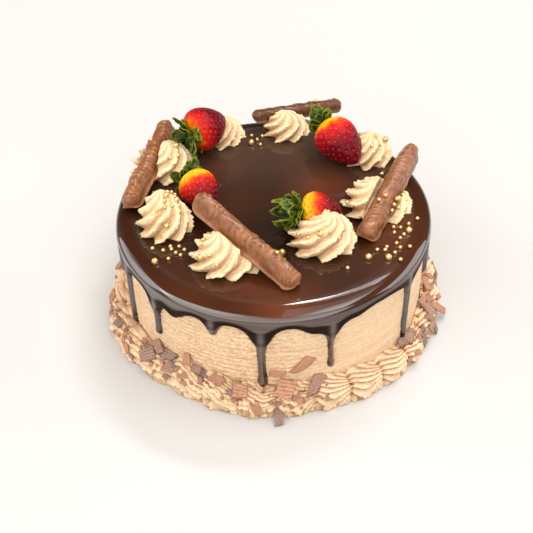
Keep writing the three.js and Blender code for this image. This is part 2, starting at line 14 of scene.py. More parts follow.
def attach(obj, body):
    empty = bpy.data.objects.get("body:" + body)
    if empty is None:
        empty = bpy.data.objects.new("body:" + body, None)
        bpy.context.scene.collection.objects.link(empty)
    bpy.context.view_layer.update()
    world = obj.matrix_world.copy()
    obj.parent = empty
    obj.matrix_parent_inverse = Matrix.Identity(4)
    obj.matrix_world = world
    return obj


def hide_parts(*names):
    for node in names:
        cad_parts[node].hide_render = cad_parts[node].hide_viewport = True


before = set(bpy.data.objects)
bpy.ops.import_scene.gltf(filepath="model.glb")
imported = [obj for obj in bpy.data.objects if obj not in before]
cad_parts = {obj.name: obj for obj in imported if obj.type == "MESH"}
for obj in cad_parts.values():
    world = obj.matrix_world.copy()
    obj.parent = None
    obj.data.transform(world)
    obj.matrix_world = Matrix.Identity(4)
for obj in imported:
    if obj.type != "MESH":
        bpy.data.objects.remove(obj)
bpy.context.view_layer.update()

MM = 0.001

# The cake's own sizes
CAKE_RADIUS = 104.5
CAKE_TOP = 81.7
CAKE_EDGE = 3
WALL_RADIUS = CAKE_RADIUS + 0.3
COMB_DEPTH = 0.42
COMB_PITCH = 7.4
# Heights of the side's rows: few behind the border and the glaze, close where the comb shows
SIDE_HEIGHTS = [0, 4, 8, 12, *np.linspace(14, 70, 126), 73, 76, CAKE_TOP - CAKE_EDGE]
SIDE_COLUMNS = 720
# A smooth low ledge at the front right: its top, and the middle of its arc in radians
LEDGE_TOP = 28
LEDGE_ANGLE = -0.85

# Glaze: a flat top, a round shoulder, a skirt and its drips
GLAZE_TOP = 84
GLAZE_RADIUS = 107.1
SHOULDER_WIDE = 14
SHOULDER_TALL = 6
FLAT_RADIUS = GLAZE_RADIUS - SHOULDER_WIDE
GLAZE_COLUMNS = 420
GLAZE_ROW = 0.6
SKIRT_Z = 72.5
SKIRT_THICK = GLAZE_RADIUS - WALL_RADIUS
SKIN_THICK = 2.6
FILLET = 2.2
EDGE_ROUND = 2.2
SUNK = 0.9
TABLE_TOP = GLAZE_TOP + 0.3

# Painted red-brown reflections in the glaze. Round clouds in the flat top: centre, radius, depth. Along
# the edge of the flat top and in the band of the shoulder: angle, depth, half width in degrees
GLAZE_CLOUDS = [(33, 22, 24, 0.42), (-33, 44, 14, 0.22), (-25, 5, 20, 0.14), (48, -12, 20, 0.2)]
EDGE_CLOUDS = [(-92, 0.3, 26), (-18, 0.36, 30), (-135, 0.12, 20)]
BAND_CLOUDS = [(-88, 0.22, 11), (-122, 0.06, 8)]

# Heights on the shoulder: where the dull band ends, how far that dips in front, and the lower bright line
BAND_END = 82.1
BAND_DIPS = [(-88, 1.1, 10)]
BRIGHT_LINE = 77.4

# Lobes of the skirt's lower edge: angle in degrees, how far they sag, half width in degrees
LOBES = [
    (-168, 5, 4), (-156, 6, 4), (-136.5, 11, 4), (-127, 9, 5), (-112, 4, 3.5), (-95, 13, 5), (-78, 6, 4),
    (-70.5, 11, 5), (-61, 3, 4), (-35, 5, 9), (-12, 6, 5), (14, 9, 5), (41, 5, 5), (66, 8, 5), (92, 10, 5),
    (117, 6, 4), (143, 9, 5), (160, 4, 6),
]

# Drips: angle in degrees, height of the tip, width
DRIPS = [
    (-168.5, 45, 3.6), (-156, 18, 4.2), (-136.5, 36, 4.2), (-112, 60, 4.6), (-95, 17.4, 5.4),
    (-70.5, 30, 4), (-35, 16, 4.4), (-12, 40, 4), (14, 22, 4.5), (41, 52, 4), (66, 30, 4.4), (92, 19, 5),
    (117, 48, 4), (143, 27, 4.6),
]
DRIP_DEPTH = 2.7
# How many times longer than wide the bead at a drip's tip is
BEAD_LONG = 2.1

# Border: a chain of piped shells round the foot, each with a full head and a slim tail
SHELLS = 28
LIPS = 5
LIP_DEPTH = 2.1
LIP_SAG = 0.2
SEAM_DEPTH = 1.2
BORDER_REACH = 13
BORDER_HEIGHT = 21
SHELL_COLUMNS = 44
BORDER_ROWS = 78
# Where the border is wider, where it is higher, where its lips run on from shell to shell as on a rope, and
# where the piping is most broken up: angle, amount, half width in degrees
BORDER_SPREADS = [
    (-160, 4.5, 15), (-124, -2, 13), (-101, 1.5, 8), (-73, -1.5, 9), (-42, 2, 12), (10, 3, 30), (80, 3, 45),
    (150, 3, 30),
]
BORDER_SWELLS = [(-121, 6, 20), (-74, 4.5, 15), (-32, -4, 14), (60, -2, 40), (150, -1, 30)]
BORDER_ROPE = [(-142, 1.4, 30), (110, 1.2, 40)]
BORDER_JUMBLE = [(-97, 0.6, 20), (20, 0.3, 30)]

# Chocolate flakes on the border: angle, share of the way down from the wall, length, width, turn from
# pointing outwards, extra lean outwards and lift, with all angles in degrees
FLAKES = [
    (-174, 0.56, 9, 7, -72, 0, 0), (-158.5, 0.44, 8, 6, -74, 0, 0.5), (-148.5, 0.72, 8, 5, 60, 0, 0),
    (-138.5, 0.46, 13, 9.5, -42, 5, 1), (-136.5, 0.08, 11, 6, 64, 30, 2.5), (-131, 0.06, 10, 8, -84, 20, 2.5),
    (-129.5, 0.46, 10, 7, -78, 0, 0.5), (-123, 0.06, 7, 6, 20, 55, 4), (-119, 0.08, 7.5, 5, -86, 10, 1),
    (-110, 0.16, 9, 6, 70, 0, 0.5), (-102, 0.3, 10, 10, 86, 5, 1), (-96.5, 0.8, 11, 5.5, 16, 0, 0),
    (-89.5, 0.96, 16, 5.5, 2, -55, 0), (-87, 0.24, 12, 12, 78, 10, 1.5), (-83, 0.58, 6.5, 5, 26, 0, 0.5),
    (-76.5, 0.2, 16, 7, -42, 10, 1), (-38, 0.08, 7, 5, 72, 20, 2.5), (-28.5, 0.74, 11, 5.5, 0, 10, 0.5),
    (-20.5, 0.9, 17, 5.5, 8, -10, 0.5), (-18, 0.2, 15, 6, -26, 10, 1.5), (-13, 0.62, 26, 7, 14, -12, 1.5),
    (-8, 0.08, 12, 5.5, -70, 25, 3), (0, 0.5, 12, 8, 50, 5, 0.5), (52, 0.5, 11, 7, 40, 5, 0.5),
    (98, 0.4, 14, 7, 75, 10, 0.5), (137, 0.6, 9, 7, 15, 0, 0.5), (171, 0.35, 12, 6, 60, 10, 1),
]
# Two more, pressed flat into the side of the cake: angle, height, length, width and turn
SIDE_FLAKES = [(-81, 37, 18, 7, -42), (-89.5, 31, 11, 5, 84)]
FLAKE_THICK = 1.9
FLAKE_ROWS = 13
FLAKE_COLUMNS = 17
# Small crumbs of flake: first and last angle, count, mean length
CRUMBS = [(-172, -116, 38, 4.2), (-116, -72, 20, 3.6), (-40, 12, 24, 6.5), (12, 188, 34, 5)]

# Swirls: centre, width and depth, height, lean of the peak, turn of the first ridge
SWIRLS = [
    (-30.5, -55.5, 49, 41, 21, -5, 3, 0.2), (-72, -20.5, 39, 36, 25, -2, 8, 0.5),
    (-78, 44.5, 48, 42, 20, 4, 4, 0.1), (-38, 82, 37, 35, 17, 3, 1, 0.7),
    (11, 88, 35, 33, 18, -3, 0, 0.3), (68, 54, 37, 36, 19, 1, 2, 0.6),
    (70, -3, 48, 45, 19, -3, 4, 0.4), (31, -39, 47, 40, 21, 7, 3, 0.0),
]
SWIRL_RIDGES = 8
SWIRL_TWIST = 2.2
SWIRL_CUT = 0.3
SWIRL_SKEW = 1.45
SWIRL_COLUMNS = 288
SWIRL_ROWS = 72

# Fingers: centre of each end with its height over the glaze, width and height of the section, roll
FINGERS = [
    ((-98, -6, 8), (-76, 84, 12.5), 15, 12.5, -0.22),
    ((15, -83, 5.4), (-49, -26, 30), 15, 12.5, 0.05),
    ((59, -41.5, 6.8), (98, 38, 20), 16.5, 13, 0.2),
    ((-14, 90, 13), (53, 114, 6.8), 12, 8.5, 0.0),
]
# The one with painted shade all over it, counted from 0
SHADED_FINGER = 3
FINGER_ROWS = 210
FINGER_COLUMNS = 84
RIPPLE_PITCH = 4.6

# Strawberries: middle of the cap and tip with their heights over the glaze, largest radius, length, curl
# and turn of the leaves, share of the length that is still yellow, and how much further the yellow runs on
# the side that faces up
BERRIES = [
    ((-58.5, 58, 18.5), (-34, 78.5, 20), 15.9, 18, 0.05, 0.3, 0.04, 0.02),
    ((38, 66, 20.5), (60, 35.5, 8.5), 15.4, 15, 0.8, 0.9, 0.06, 0.16),
    ((18, -23.5, 14), (45, -21.5, 12.5), 12.8, 19, 0.9, 0.4, 0.25, 0.03),
    ((-55.5, 13.5, 14.5), (-41, -12.5, 12.8), 13.2, 14, 0.3, -0.25, 0.27, 0.17),
]
BERRY_ROWS = 110
BERRY_COLUMNS = 150
BERRY_SEEDS = 140
SEED_DEPTH = 0.55
SEED_RADIUS = 0.34
SEED_LONG = 1.2
LEAVES = 6
LEAF_THICK = 0.8
LEAF_ROOT = 3
LEAF_FOLD = 0.3
LEAF_POINT = 0.27
# Layers of leaves: further turn, size, share of the curl
LEAF_LAYERS = [(0, 1.0, 1.0), (math.pi / 6, 0.86, 0.6), (math.pi / 11, 0.7, 0.2)]
LEAF_COLUMNS = 24
LEAF_ROWS = 18

# Sugar pearls: their radii, and the share of the radius that their centres stand over what carries them
PEARL_SMALL = 1.35
PEARL_LARGE = 2.2
PEARL_ROWS = 9
PEARL_COLUMNS = 16
PEARL_RISE = 0.8
SWIRL_PEARL_RISE = 0.55
GOLDEN_ANGLE = math.pi * (3 - math.sqrt(5))
# Clusters on the glaze: middle, how far they spread, count
PEARLS_ON_GLAZE = [
    (-65, -42, 8, 7), (-70, -50, 12, 5), (83, -29, 10, 7), (75, -50, 10, 6), (57, -50, 8, 4),
    (94, -17, 4, 2), (11, -49, 9, 6), (-12, 92, 8, 6), (75, 33, 5, 3), (47, -65, 1, 1), (80, -38, 14, 6),
    (-13, 78, 9, 6), (-68, -43, 5, 3),
]
# On swirls: which, first and last direction in degrees, lowest and highest share of the height, count
PEARLS_ON_SWIRLS = [
    (0, -190, -95, 0.3, 0.75, 5), (1, -110, 60, 0.3, 0.9, 13), (5, -100, 30, 0.3, 0.7, 3),
    (6, -60, 20, 0.2, 0.6, 6), (6, 185, 230, 0.3, 0.6, 2), (7, -170, -20, 0.35, 0.85, 6),
    (1, -80, 80, 0.45, 0.95, 9), (6, -75, 35, 0.1, 0.5, 5), (2, -80, 30, 0.4, 0.9, 4),
    (5, -60, 40, 0.2, 0.9, 4),
]
# On fingers: which, share of the length, shift across
PEARLS_ON_FINGERS = [(0, 0.68, 1), (1, 0.25, -2), (2, 0.36, 0), (2, 0.3, 2.4), (3, 0.7, 0)]

# Camera and light
CAMERA_PLACE = (0, -530.53, 511.60)
CAMERA_PITCH = 42.3275
CAMERA_ROLL = -1.5026
CAMERA_YAW = -0.5938
CAMERA_LENS = 67.54
FLOOR_SIDE = 8000
# Softboxes: name, place, width, depth, power, colour, with lengths in metres
SOFTBOXES = [
    ("overhead", (0.9, 0.0, 3.0), 2.0, 1.6, 50, (1, 1, 1)),
    ("behind", (0.7, 1.6, 2.7), 1.3, 0.3, 36, (1, 1, 1)),
    ("front", (-0.7, -2.3, 2.3), 8.2, 4.4, 230, (1, 0.975, 0.95)),
    ("far_left", (-2.7, 0.7, 1.4), 2.4, 2.2, 31, (1, 1, 1)),
    ("far_right", (2.8, 0.4, 1.2), 2.4, 1.8, 33, (1, 1, 1)),
]
LIGHT_AIM = (0, 0, 0.05)
AIR_COLOR = (0.92, 0.7, 0.56, 1)
AIR_STRENGTH = 0.22


def draw(number):
    """Repeatable draw from 0 to 1: the fraction of a large multiple of the number's sine."""
    wave = np.sin(np.asarray(number, float) * 12.9898 + 4.1414) * 43758.5453
    return wave - np.floor(wave)


def noise(points, cell, seed=0):
    """Smooth noise from -1 to 1: draws at the corners of a lattice of cells, blended with a cubic ease."""
    scaled = points / np.asarray(cell, float)
    base = np.floor(scaled)
    part = scaled - base
    ease = part * part * (3 - 2 * part)
    total = np.zeros(points.shape[:-1])
    for corner in np.ndindex(2, 2, 2):
        key = (base + corner) @ np.array([1.0, 57.31, 113.17]) + seed * 7.77
        weight = np.where(corner, ease, 1 - ease).prod(-1)
        total += draw(key) * weight
    return total * 2 - 1


def on_circle(radius, angle, z):
    """Points at a radius, an angle in radians and a height."""
    radius, angle, z = np.broadcast_arrays(radius, angle, z)
    return np.stack([radius * np.cos(angle), radius * np.sin(angle), z], -1)


def bell(away, half):
    """A bell over the distance from its middle: 1 there, and about a third at its half width."""
    return np.exp(-((away / half) ** 2))


def bells(hills, degrees):
    """Sum of bells round the circle, each with its angle, height and half width, in degrees."""
    total = np.zeros(np.shape(degrees))
    for angle, height, half in hills:
        away = (degrees - angle + 180) % 360 - 180
        total = total + height * bell(away, half)
    return total


def ease_between(value, low, high):
    """0 below low, 1 above high, and a cubic ease between."""
    share = np.clip((value - low) / (high - low), 0, 1)
    return share * share * (3 - 2 * share)


def round_angles(count):
    """Angles in radians of columns that stand evenly round a circle."""
    return np.arange(count) * 2 * np.pi / count


def end_weighted(count):
    """Shares from 0 to 1 that draw together towards both ends, by a half wave of a cosine."""
    return 0.5 - 0.5 * np.cos(np.pi * (np.arange(count) + 0.5) / count)


def two_grids(down, across):
    """Every value down with every value across, as two grids."""
    return np.meshgrid(down, across, indexing="ij")


def measured(origin, directions, *distances):
    """Points at these distances along the directions from an origin."""
    steps = (distance[..., None] * way for distance, way in zip(distances, directions))
    return sum(steps, origin)


def unit(vector):
    """The vector shortened or drawn out to a length of 1."""
    return vector / np.linalg.norm(vector)


def new_object(name, data):
    """A mesh, light or camera as an object in the scene."""
    thing = bpy.data.objects.new(name, data)
    bpy.context.scene.collection.objects.link(thing)
    return thing


def make(name, points, blocks):
    """An object at the origin whose smooth mesh has these points, given in millimetres, and the faces of
    all the blocks, each an array with one face a row."""
    mesh = bpy.data.meshes.new(name)
    mesh.from_pydata((points * MM).tolist(), [], [face for block in blocks for face in block.tolist()])
    mesh.validate()
    mesh.shade_smooth()
    return new_object(name, mesh)


def quads_between(i, j, columns, rings):
    """Quads from ring i to ring i + 1 and column j to column j + 1, both counted round."""
    def at(ring, column):
        return ring % rings * columns + column % columns
    corners = [at(i, j), at(i, j + 1), at(i + 1, j + 1), at(i + 1, j)]
    return np.stack(corners, -1).reshape(-1, 4)


def capped_skin(rings):
    """Points and blocks of faces of a closed skin over rings, each end ring joined to its own centre."""
    count, columns = rings.shape[:2]
    i, j = np.indices((count - 1, columns))
    quads = quads_between(i, j, columns, count)
    points = np.vstack([rings.reshape(-1, 3), rings[0].mean(0), rings[-1].mean(0)])
    around = np.arange(columns)
    after = (around + 1) % columns
    last_ring = (count - 1) * columns
    first = np.full(columns, count * columns)
    bottom = np.stack([first, after, around], -1)
    top = np.stack([first + 1, last_ring + around, last_ring + after], -1)
    return points, [quads, bottom, top]


def looped_skin(rings):
    """Points and blocks of faces of a closed skin over closed rings, the last joined to the first."""
    count, columns = rings.shape[:2]
    i, j = np.indices((count, columns))
    quads = quads_between(i, j, columns, count)
    return rings.reshape(-1, 3), [quads[:, ::-1]]


def joined(bodies):
    """Points and blocks of faces of many small bodies as one."""
    starts = np.cumsum([0] + [len(points) for points, _ in bodies])
    blocks = [block + start for start, (_, faces) in zip(starts, bodies) for block in faces]
    return np.vstack([points for points, _ in bodies]), blocks


def paint(piece, **looks):
    """Writes one number for each point under each look's name, for the material to read."""
    for name, values in looks.items():
        attribute = piece.data.attributes.new(name, "FLOAT", "POINT")
        attribute.data.foreach_set("value", np.asarray(values, np.float32).ravel())


def with_poles(values):
    """Values over rings, with one more for each end's centre."""
    return np.concatenate([values.ravel(), [values[0].mean(), values[-1].mean()]])


class Socket:
    """An output of a material's node. Sums, differences and products of it become Math nodes."""

    def __init__(self, finish, output):
        self.finish = finish
        self.output = output

    def math(self, operation, first, second):
        return self.finish.node("ShaderNodeMath", {"operation": operation}, {0: first, 1: second})

    def __add__(self, other):
        return self.math("ADD", self, other)

    def __mul__(self, other):
        return self.math("MULTIPLY", self, other)

    def __sub__(self, other):
        return self.math("SUBTRACT", self, other)

    def __rsub__(self, other):
        return self.math("SUBTRACT", other, self)

    def largest(self, other):
        return self.math("MAXIMUM", self, other)

    def smallest(self, other):
        return self.math("MINIMUM", self, other)

    __radd__ = __add__
    __rmul__ = __mul__


class Finish:
    """A material under construction, with its shader's fixed values set by name."""

    def __init__(self, name, **fixed):
        self.material = bpy.data.materials.new(name)
        self.material.use_nodes = True
        self.tree = self.material.node_tree
        self.shader = self.tree.nodes["Principled BSDF"]
        for socket, value in fixed.items():
            self.shader.inputs[socket.replace("_", " ")].default_value = value

    def node(self, kind, settings=None, inputs=None, output=0):
        """Adds a node: its settings first, then the values or links of its sockets."""
        made = self.tree.nodes.new(kind)
        for key, value in (settings or {}).items():
            if key == "stops":
                self.set_stops(made.color_ramp, value)
            else:
                setattr(made, key, value)
        for key, value in (inputs or {}).items():
            self.feed(made.inputs[key], value)
        return Socket(self, made.outputs[output])

    def feed(self, socket, value):
        """Links a socket to another's output, or sets its own value."""
        if isinstance(value, Socket):
            self.tree.links.new(value.output, socket)
        else:
            socket.default_value = value

    def set_stops(self, ramp, stops):
        """Sets a ramp's stops, each a place from 0 to 1 and a colour."""
        while len(ramp.elements) < len(stops):
            ramp.elements.new(1)
        for element, (place, color) in zip(ramp.elements, stops):
            element.position = place
            element.color = (*color, 1)

    def speckle(self, cells_per_metre, detail=3, roughness=0.5, squeeze=(1, 1, 1)):
        """Noise from 0 to 1, fixed to the object, with cells of a real size that can be squeezed."""
        place = self.node("ShaderNodeTexCoord", output="Object")
        scaled = self.node("ShaderNodeMapping", {}, {"Vector": place, "Scale": squeeze})
        return self.node("ShaderNodeTexNoise", {}, {
            "Vector": scaled, "Scale": cells_per_metre, "Detail": detail, "Roughness": roughness,
        })

    def painted(self, name):
        """The numbers that are painted on the piece's points."""
        return self.node("ShaderNodeAttribute", {"attribute_name": name}, output="Fac")

    def ramp(self, value, *stops):
        """A colour that runs through the stops as the value goes from 0 to 1."""
        return self.node("ShaderNodeValToRGB", {"stops": stops}, {"Fac": value})

    def mix(self, share, first, second):
        """A colour between two, by the share of the second."""
        colors = [c if isinstance(c, Socket) else (*c, 1) for c in (first, second)]
        return self.node("ShaderNodeMix", {"data_type": "RGBA"}, {0: share, 6: colors[0], 7: colors[1]}, 2)

    def bump(self, height, distance, strength=1.0):
        """Relief in the shading, over a distance in millimetres."""
        self.show("Normal", self.node("ShaderNodeBump", {}, {
            "Height": height, "Distance": distance * MM, "Strength": strength,
        }))

    def show(self, socket, value):
        """Feeds one of the shader's own sockets."""
        self.feed(self.shader.inputs[socket], value)


def cream(name, light, deep, soft=0.08):
    """Whipped cream: lighter on its ridges and darker and warmer in its grooves, where painted shade lies,
    with a fine airy grain and short dashes that are strongest where it is painted as torn."""
    finish = Finish(name, Roughness=0.6, Specular_IOR_Level=0.3, Subsurface_Weight=soft,
                    Subsurface_Scale=0.003, Subsurface_Radius=(1.0, 0.6, 0.35))
    grain = finish.speckle(1100, 4, 0.65)
    patches = finish.speckle(60, 2, 0.5)
    dashes = (finish.speckle(600, 2, 0.6, (0.7, 0.7, 1.6)) - 0.5) * (finish.painted("torn") * 2.2 + 0.4)
    # Painted shade: the share of the deep colour laid into the grooves, with grain and dashes mixed in
    groove = (finish.painted("groove") + (grain - 0.5) * 0.5 + dashes).smallest(1).largest(0)
    body = finish.mix(groove, light, deep)
    paler = tuple(min(1, c * 1.06) for c in light)
    finish.show("Base Color", finish.mix(patches * 0.6, body, finish.mix(groove, paler, deep)))
    finish.bump(grain * 1.4 + dashes, 0.45)
    return finish.material


def glaze_finish():
    """Mirror glaze: near-black brown, with a painted red-brown reflection and a painted dull grey-brown
    reflection mixed into its colour, under a painted gloss."""
    finish = Finish("mirror_glaze", Specular_IOR_Level=0.05, Coat_Roughness=0.04, Coat_IOR=2.2)
    cloud = finish.speckle(20, 2, 0.5)
    thin = (finish.painted("thin") * (cloud + 0.5)).smallest(1)
    # Painted reflection: the red-brown colour is mixed in by its painted share
    body = finish.mix(thin, (0.012, 0.0046, 0.0024), (0.2, 0.052, 0.017))
    # Painted reflection: a dull grey-brown is mixed in by its painted share
    hazy_reflection = finish.painted("haze") * (cloud * 0.8 + 0.6)
    finish.show("Base Color", finish.mix(hazy_reflection, body, (0.08, 0.044, 0.028)))
    finish.show("Coat Weight", finish.painted("sheen"))
    finish.show("Roughness", finish.speckle(120, 2) * 0.1 + 0.2)
    finish.bump(finish.speckle(30, 2, 0.4) + finish.speckle(90, 1, 0.4) * 0.25, 0.8, 0.35)
    return finish.material


def milk_chocolate():
    """Milk chocolate coating: satin, with a painted highlight on the crests of its ripples, lighter on its
    foot, and darker where it is painted as shaded."""
    finish = Finish("milk_chocolate", Specular_IOR_Level=0.4, Subsurface_Weight=0.05,
                    Subsurface_Scale=0.002, Subsurface_Radius=(1.0, 0.4, 0.2))
    cloud = finish.speckle(130, 4, 0.6)
    body = finish.ramp(cloud, (0.3, (0.16, 0.055, 0.02)), (0.55, (0.26, 0.095, 0.036)),
                       (0.8, (0.38, 0.155, 0.065)))
    # Painted highlight: a lighter colour on the crests of the ripples
    lit = finish.mix(finish.painted("crest") * 0.35, body, (0.56, 0.28, 0.15))
    lit = finish.mix(finish.painted("foot") * 0.4, lit, (0.56, 0.3, 0.17))
    finish.show("Base Color", finish.mix(finish.painted("shade"), lit, (0.09, 0.035, 0.014)))
    finish.show("Roughness", finish.speckle(260, 3) * 0.2 + 0.13)
    finish.bump(finish.speckle(500, 3, 0.6) * 0.6 + finish.speckle(170, 2) * 2, 0.6, 0.7)
    return finish.material


def flake_finish():
    """Broken milk chocolate: matt and striated along each flake, with painted shade in the hollows between
    its ridges and on its underside, some pieces greyer than others.
    """
    finish = Finish("flake", Roughness=0.65, Specular_IOR_Level=0.3)
    grey = finish.painted("grey")
    grain = finish.speckle(1300, 3, 0.7)
    # Painted shade: towards the dark colour in the hollows between the ridges and under each flake, with
    # grain mixed in
    streak = (finish.painted("streak") + (grain - 0.5) * 0.9).smallest(1).largest(0)
    body = finish.mix(grey, (0.62, 0.34, 0.21), (0.36, 0.26, 0.225))
    dark = finish.mix(grey, (0.3, 0.125, 0.065), (0.16, 0.1, 0.085))
    finish.show("Base Color", finish.mix(streak, body, dark))
    finish.bump(grain + finish.speckle(500, 2), 0.5)
    return finish.material


def berry_skin():
    """Strawberry skin: yellow at the shoulder through orange to deep red, with painted shade in the pit round
    each seed, and small sharp highlights."""
    finish = Finish("strawberry", Specular_IOR_Level=0.04, Subsurface_Weight=0.1, Subsurface_Scale=0.003,
                    Subsurface_Radius=(1.0, 0.25, 0.1), Coat_Weight=0.16, Coat_Roughness=0.05)
    ripe = finish.painted("ripe") + (finish.speckle(260, 3) - 0.5) * 0.12
    body = finish.ramp(ripe, (0.0, (0.88, 0.5, 0.02)), (0.2, (0.92, 0.34, 0.004)),
                       (0.32, (0.85, 0.1, 0.004)), (0.44, (0.62, 0.014, 0.008)),
                       (0.65, (0.36, 0.003, 0.008)), (1.0, (0.13, 0.001, 0.006)))
    # Painted shade: the darker colour laid into the pit round each seed
    deep = finish.ramp(ripe, (0.0, (0.55, 0.3, 0.01)), (0.35, (0.4, 0.04, 0.003)),
                       (1.0, (0.07, 0.001, 0.003)))
    finish.show("Base Color", finish.mix(finish.painted("pit") * 0.6, body, deep))
    finish.show("Roughness", finish.speckle(300, 2) * 0.15 + 0.24)
    finish.bump(finish.speckle(500, 2), 0.3, 0.7)
    return finish.material


def leaf_finish():
    """Leaf: dark green with brighter patches, yellow-green veins and edges, and a soft sheen."""
    finish = Finish("leaf", Specular_IOR_Level=0.22, Subsurface_Weight=0.1, Subsurface_Scale=0.001)
    edge = finish.painted("edge")
    cloud = finish.speckle(220, 3, 0.6)
    body = finish.ramp(cloud, (0.38, (0.005, 0.016, 0.0005)), (0.52, (0.028, 0.052, 0.001)),
                       (0.62, (0.1, 0.14, 0.003)), (0.72, (0.3, 0.38, 0.03)))
    finish.show("Base Color", finish.mix(edge, body, (0.28, 0.33, 0.03)))
    finish.show("Roughness", cloud * 0.2 + 0.35)
    finish.bump(finish.speckle(600, 3), 0.45)
    return finish.material


def clouded(name, cells_per_metre, low, high, rough, spread, **fixed):
    """A finish with soft clouds, along which the colour goes from low to high and the roughness rises from
    rough by the spread."""
    finish = Finish(name, **fixed)
    cloud = finish.speckle(cells_per_metre, 2)
    finish.show("Base Color", finish.ramp(cloud, (0.3, low), (0.7, high)))
    finish.show("Roughness", cloud * spread + rough)
    return finish.material


def pearl_finish():
    """Sugar pearl: pale gold with a pearly, part metallic gloss."""
    return clouded("gold_pearl", 500, (0.6, 0.38, 0.11), (0.86, 0.66, 0.3), 0.22, 0.12,
                   Specular_IOR_Level=0.7, Metallic=0.7, Coat_Weight=0.6, Coat_Roughness=0.12)


def seed_finish():
    """Strawberry seed: red to pale orange under a gloss; the pale end is partly its own colour and partly a
    painted glint.
    """
    return clouded("berry_seed", 900, (0.45, 0.05, 0.02), (0.76, 0.26, 0.13), 0.3, 0.2,
                   Specular_IOR_Level=0.5, Coat_Weight=0.8)


def floor_finish():
    """The floor: matt and pale, with the faintest of clouds."""
    return clouded("pale_floor", 6, (0.568, 0.564, 0.553), (0.573, 0.569, 0.558), 0.7, 0.1,
                   Specular_IOR_Level=0.1)


def skirt_edge(degrees):
    """Height of the skirt's lower edge: a level that sags in bells."""
    return SKIRT_Z - bells(LOBES, degrees)


def comb_smooth(angle):
    """How smoothly the comb has run: 1 at the front right, eased off to 0 on both sides of it."""
    return ease_between(np.cos(angle + 0.7), 0.6, 0.95)


def comb_relief(angle, z):
    """How far the comb has cut into the cream: fine lines of noise drawn out round the side, the marks of
    its teeth as a high power of a sine over the height, and the grain of torn cream, all of which fade in
    and out and are weaker where the comb ran smoothly, over a slow swell."""
    points = on_circle(CAKE_RADIUS, angle, z)
    fine = noise(points, (9, 9, 0.9), 1)
    broad = noise(points, (90, 90, 2.8), 2)
    torn = noise(points, (1.8, 1.8, 0.8), 3)
    fade = (0.65 + 0.45 * noise(points, (20, 20, 14), 4)) * (1 - 0.6 * comb_smooth(angle))
    teeth = np.sin(2 * np.pi * z / COMB_PITCH + 1.5 * noise(points, (60, 60, 9), 16)) ** 8
    return np.clip(0.38 - (0.34 * fine + 0.4 * torn - 0.6 * teeth) * fade - 0.14 * broad, 0, 1.2)


def smooth_ledge(angle, z):
    """Share of the smooth low ledge at the front right: 1 on it, eased off at its top and its two ends."""
    low = 1 - ease_between(z, LEDGE_TOP - 1.5, LEDGE_TOP)
    return low * ease_between(np.cos(angle - LEDGE_ANGLE), 0.82, 0.94)


def make_side():
    """The cream-covered cake: a drum whose side is cut by the comb, stands out a little on the ledge and
    is cut back at its top edge."""
    angle = round_angles(SIDE_COLUMNS)
    z, turn = two_grids(SIDE_HEIGHTS, angle)
    shown = ease_between(z, 8, 14) * (1 - ease_between(z, 72, 77))
    ledge = smooth_ledge(turn, z)
    cut = comb_relief(turn, z) * (1 - 0.75 * ledge) + 0.4 * ledge
    side = on_circle(CAKE_RADIUS - COMB_DEPTH * cut * shown + 0.4 * ledge, turn, z)
    top = on_circle(CAKE_RADIUS - CAKE_EDGE, angle, CAKE_TOP)
    piece = make("cake_side", *capped_skin(np.concatenate([side, top[None]])))
    torn = 1 - 0.7 * np.maximum(comb_smooth(turn), ledge)
    on_top = np.zeros((1, SIDE_COLUMNS))
    # Painted shade: the comb's cuts and the smooth ledge are painted towards the cream's deep colour
    groove, torn = (with_poles(np.vstack([values, on_top])) for values in (cut * shown, torn))
    paint(piece, groove=groove, torn=torn)
    return piece


def glaze_angles():
    """Angles of the glaze's columns in degrees: even ones, with closer ones across each drip."""
    even = np.arange(GLAZE_COLUMNS) * 360 / GLAZE_COLUMNS
    across = np.linspace(-1.25, 1.25, 15)
    near = [angle + np.degrees(across * wide / WALL_RADIUS) for angle, _, wide in DRIPS]
    angles = np.sort(np.concatenate([even, *near]) % 360)
    return angles[np.diff(angles, append=angles[0] + 360) > 0.12]


def drip_depth_in(drip, degrees, z):
    """Distance inside a drip's outline on the wall, below zero outside it: its half width at that height
    less the distance from its wandering middle line, with a long round bead below."""
    angle, tip, wide = drip
    away = np.radians((degrees - angle + 180) % 360 - 180) * WALL_RADIUS
    neck = skirt_edge(angle)
    bead = wide * 0.56
    middle = tip + bead * BEAD_LONG
    half = wide / 2 * (0.84 + 0.28 * bell(z - middle, wide) + 0.7 * np.exp((z - neck) / 4))
    wander = 0.35 * np.sin((z - neck) / 9 + angle) * ease_between(neck - z, 2, 14)
    side = np.minimum(half, wide) - np.abs(away - wander)
    below = bead - np.hypot(away - wander, (z - middle) / BEAD_LONG)
    return np.where(z > middle, side, below)


def glaze_depth(degrees, z):
    """Thickness of the glaze on the wall: a smooth union of the skirt and its drips, rounded off towards
    their outline with a quarter sine, with a slight swell just inside the skirt's edge. It is sunk into
    the cream outside the outline."""
    edge = skirt_edge(degrees)
    slope = (skirt_edge(degrees + 0.5) - skirt_edge(degrees - 0.5)) / (np.radians(1) * WALL_RADIUS)
    inside = [(z - edge) / np.hypot(1, slope)]
    inside += [drip_depth_in(drip, degrees, z) for drip in DRIPS]
    stack = np.stack(inside) / FILLET
    depth = FILLET * np.log(np.exp(np.clip(stack, -30, 30)).sum(0))
    on_drip = 1 - ease_between(inside[0], -5, 3)
    thick = SKIRT_THICK + (DRIP_DEPTH - SKIRT_THICK) * on_drip
    lip = 0.35 * bell(depth - 2.6, 1.6) * (1 - on_drip)
    rounded = np.sin(np.pi / 2 * np.clip((depth + 0.1) / EDGE_ROUND, -1, 1))
    return np.maximum(thick * rounded + lip, -SUNK)


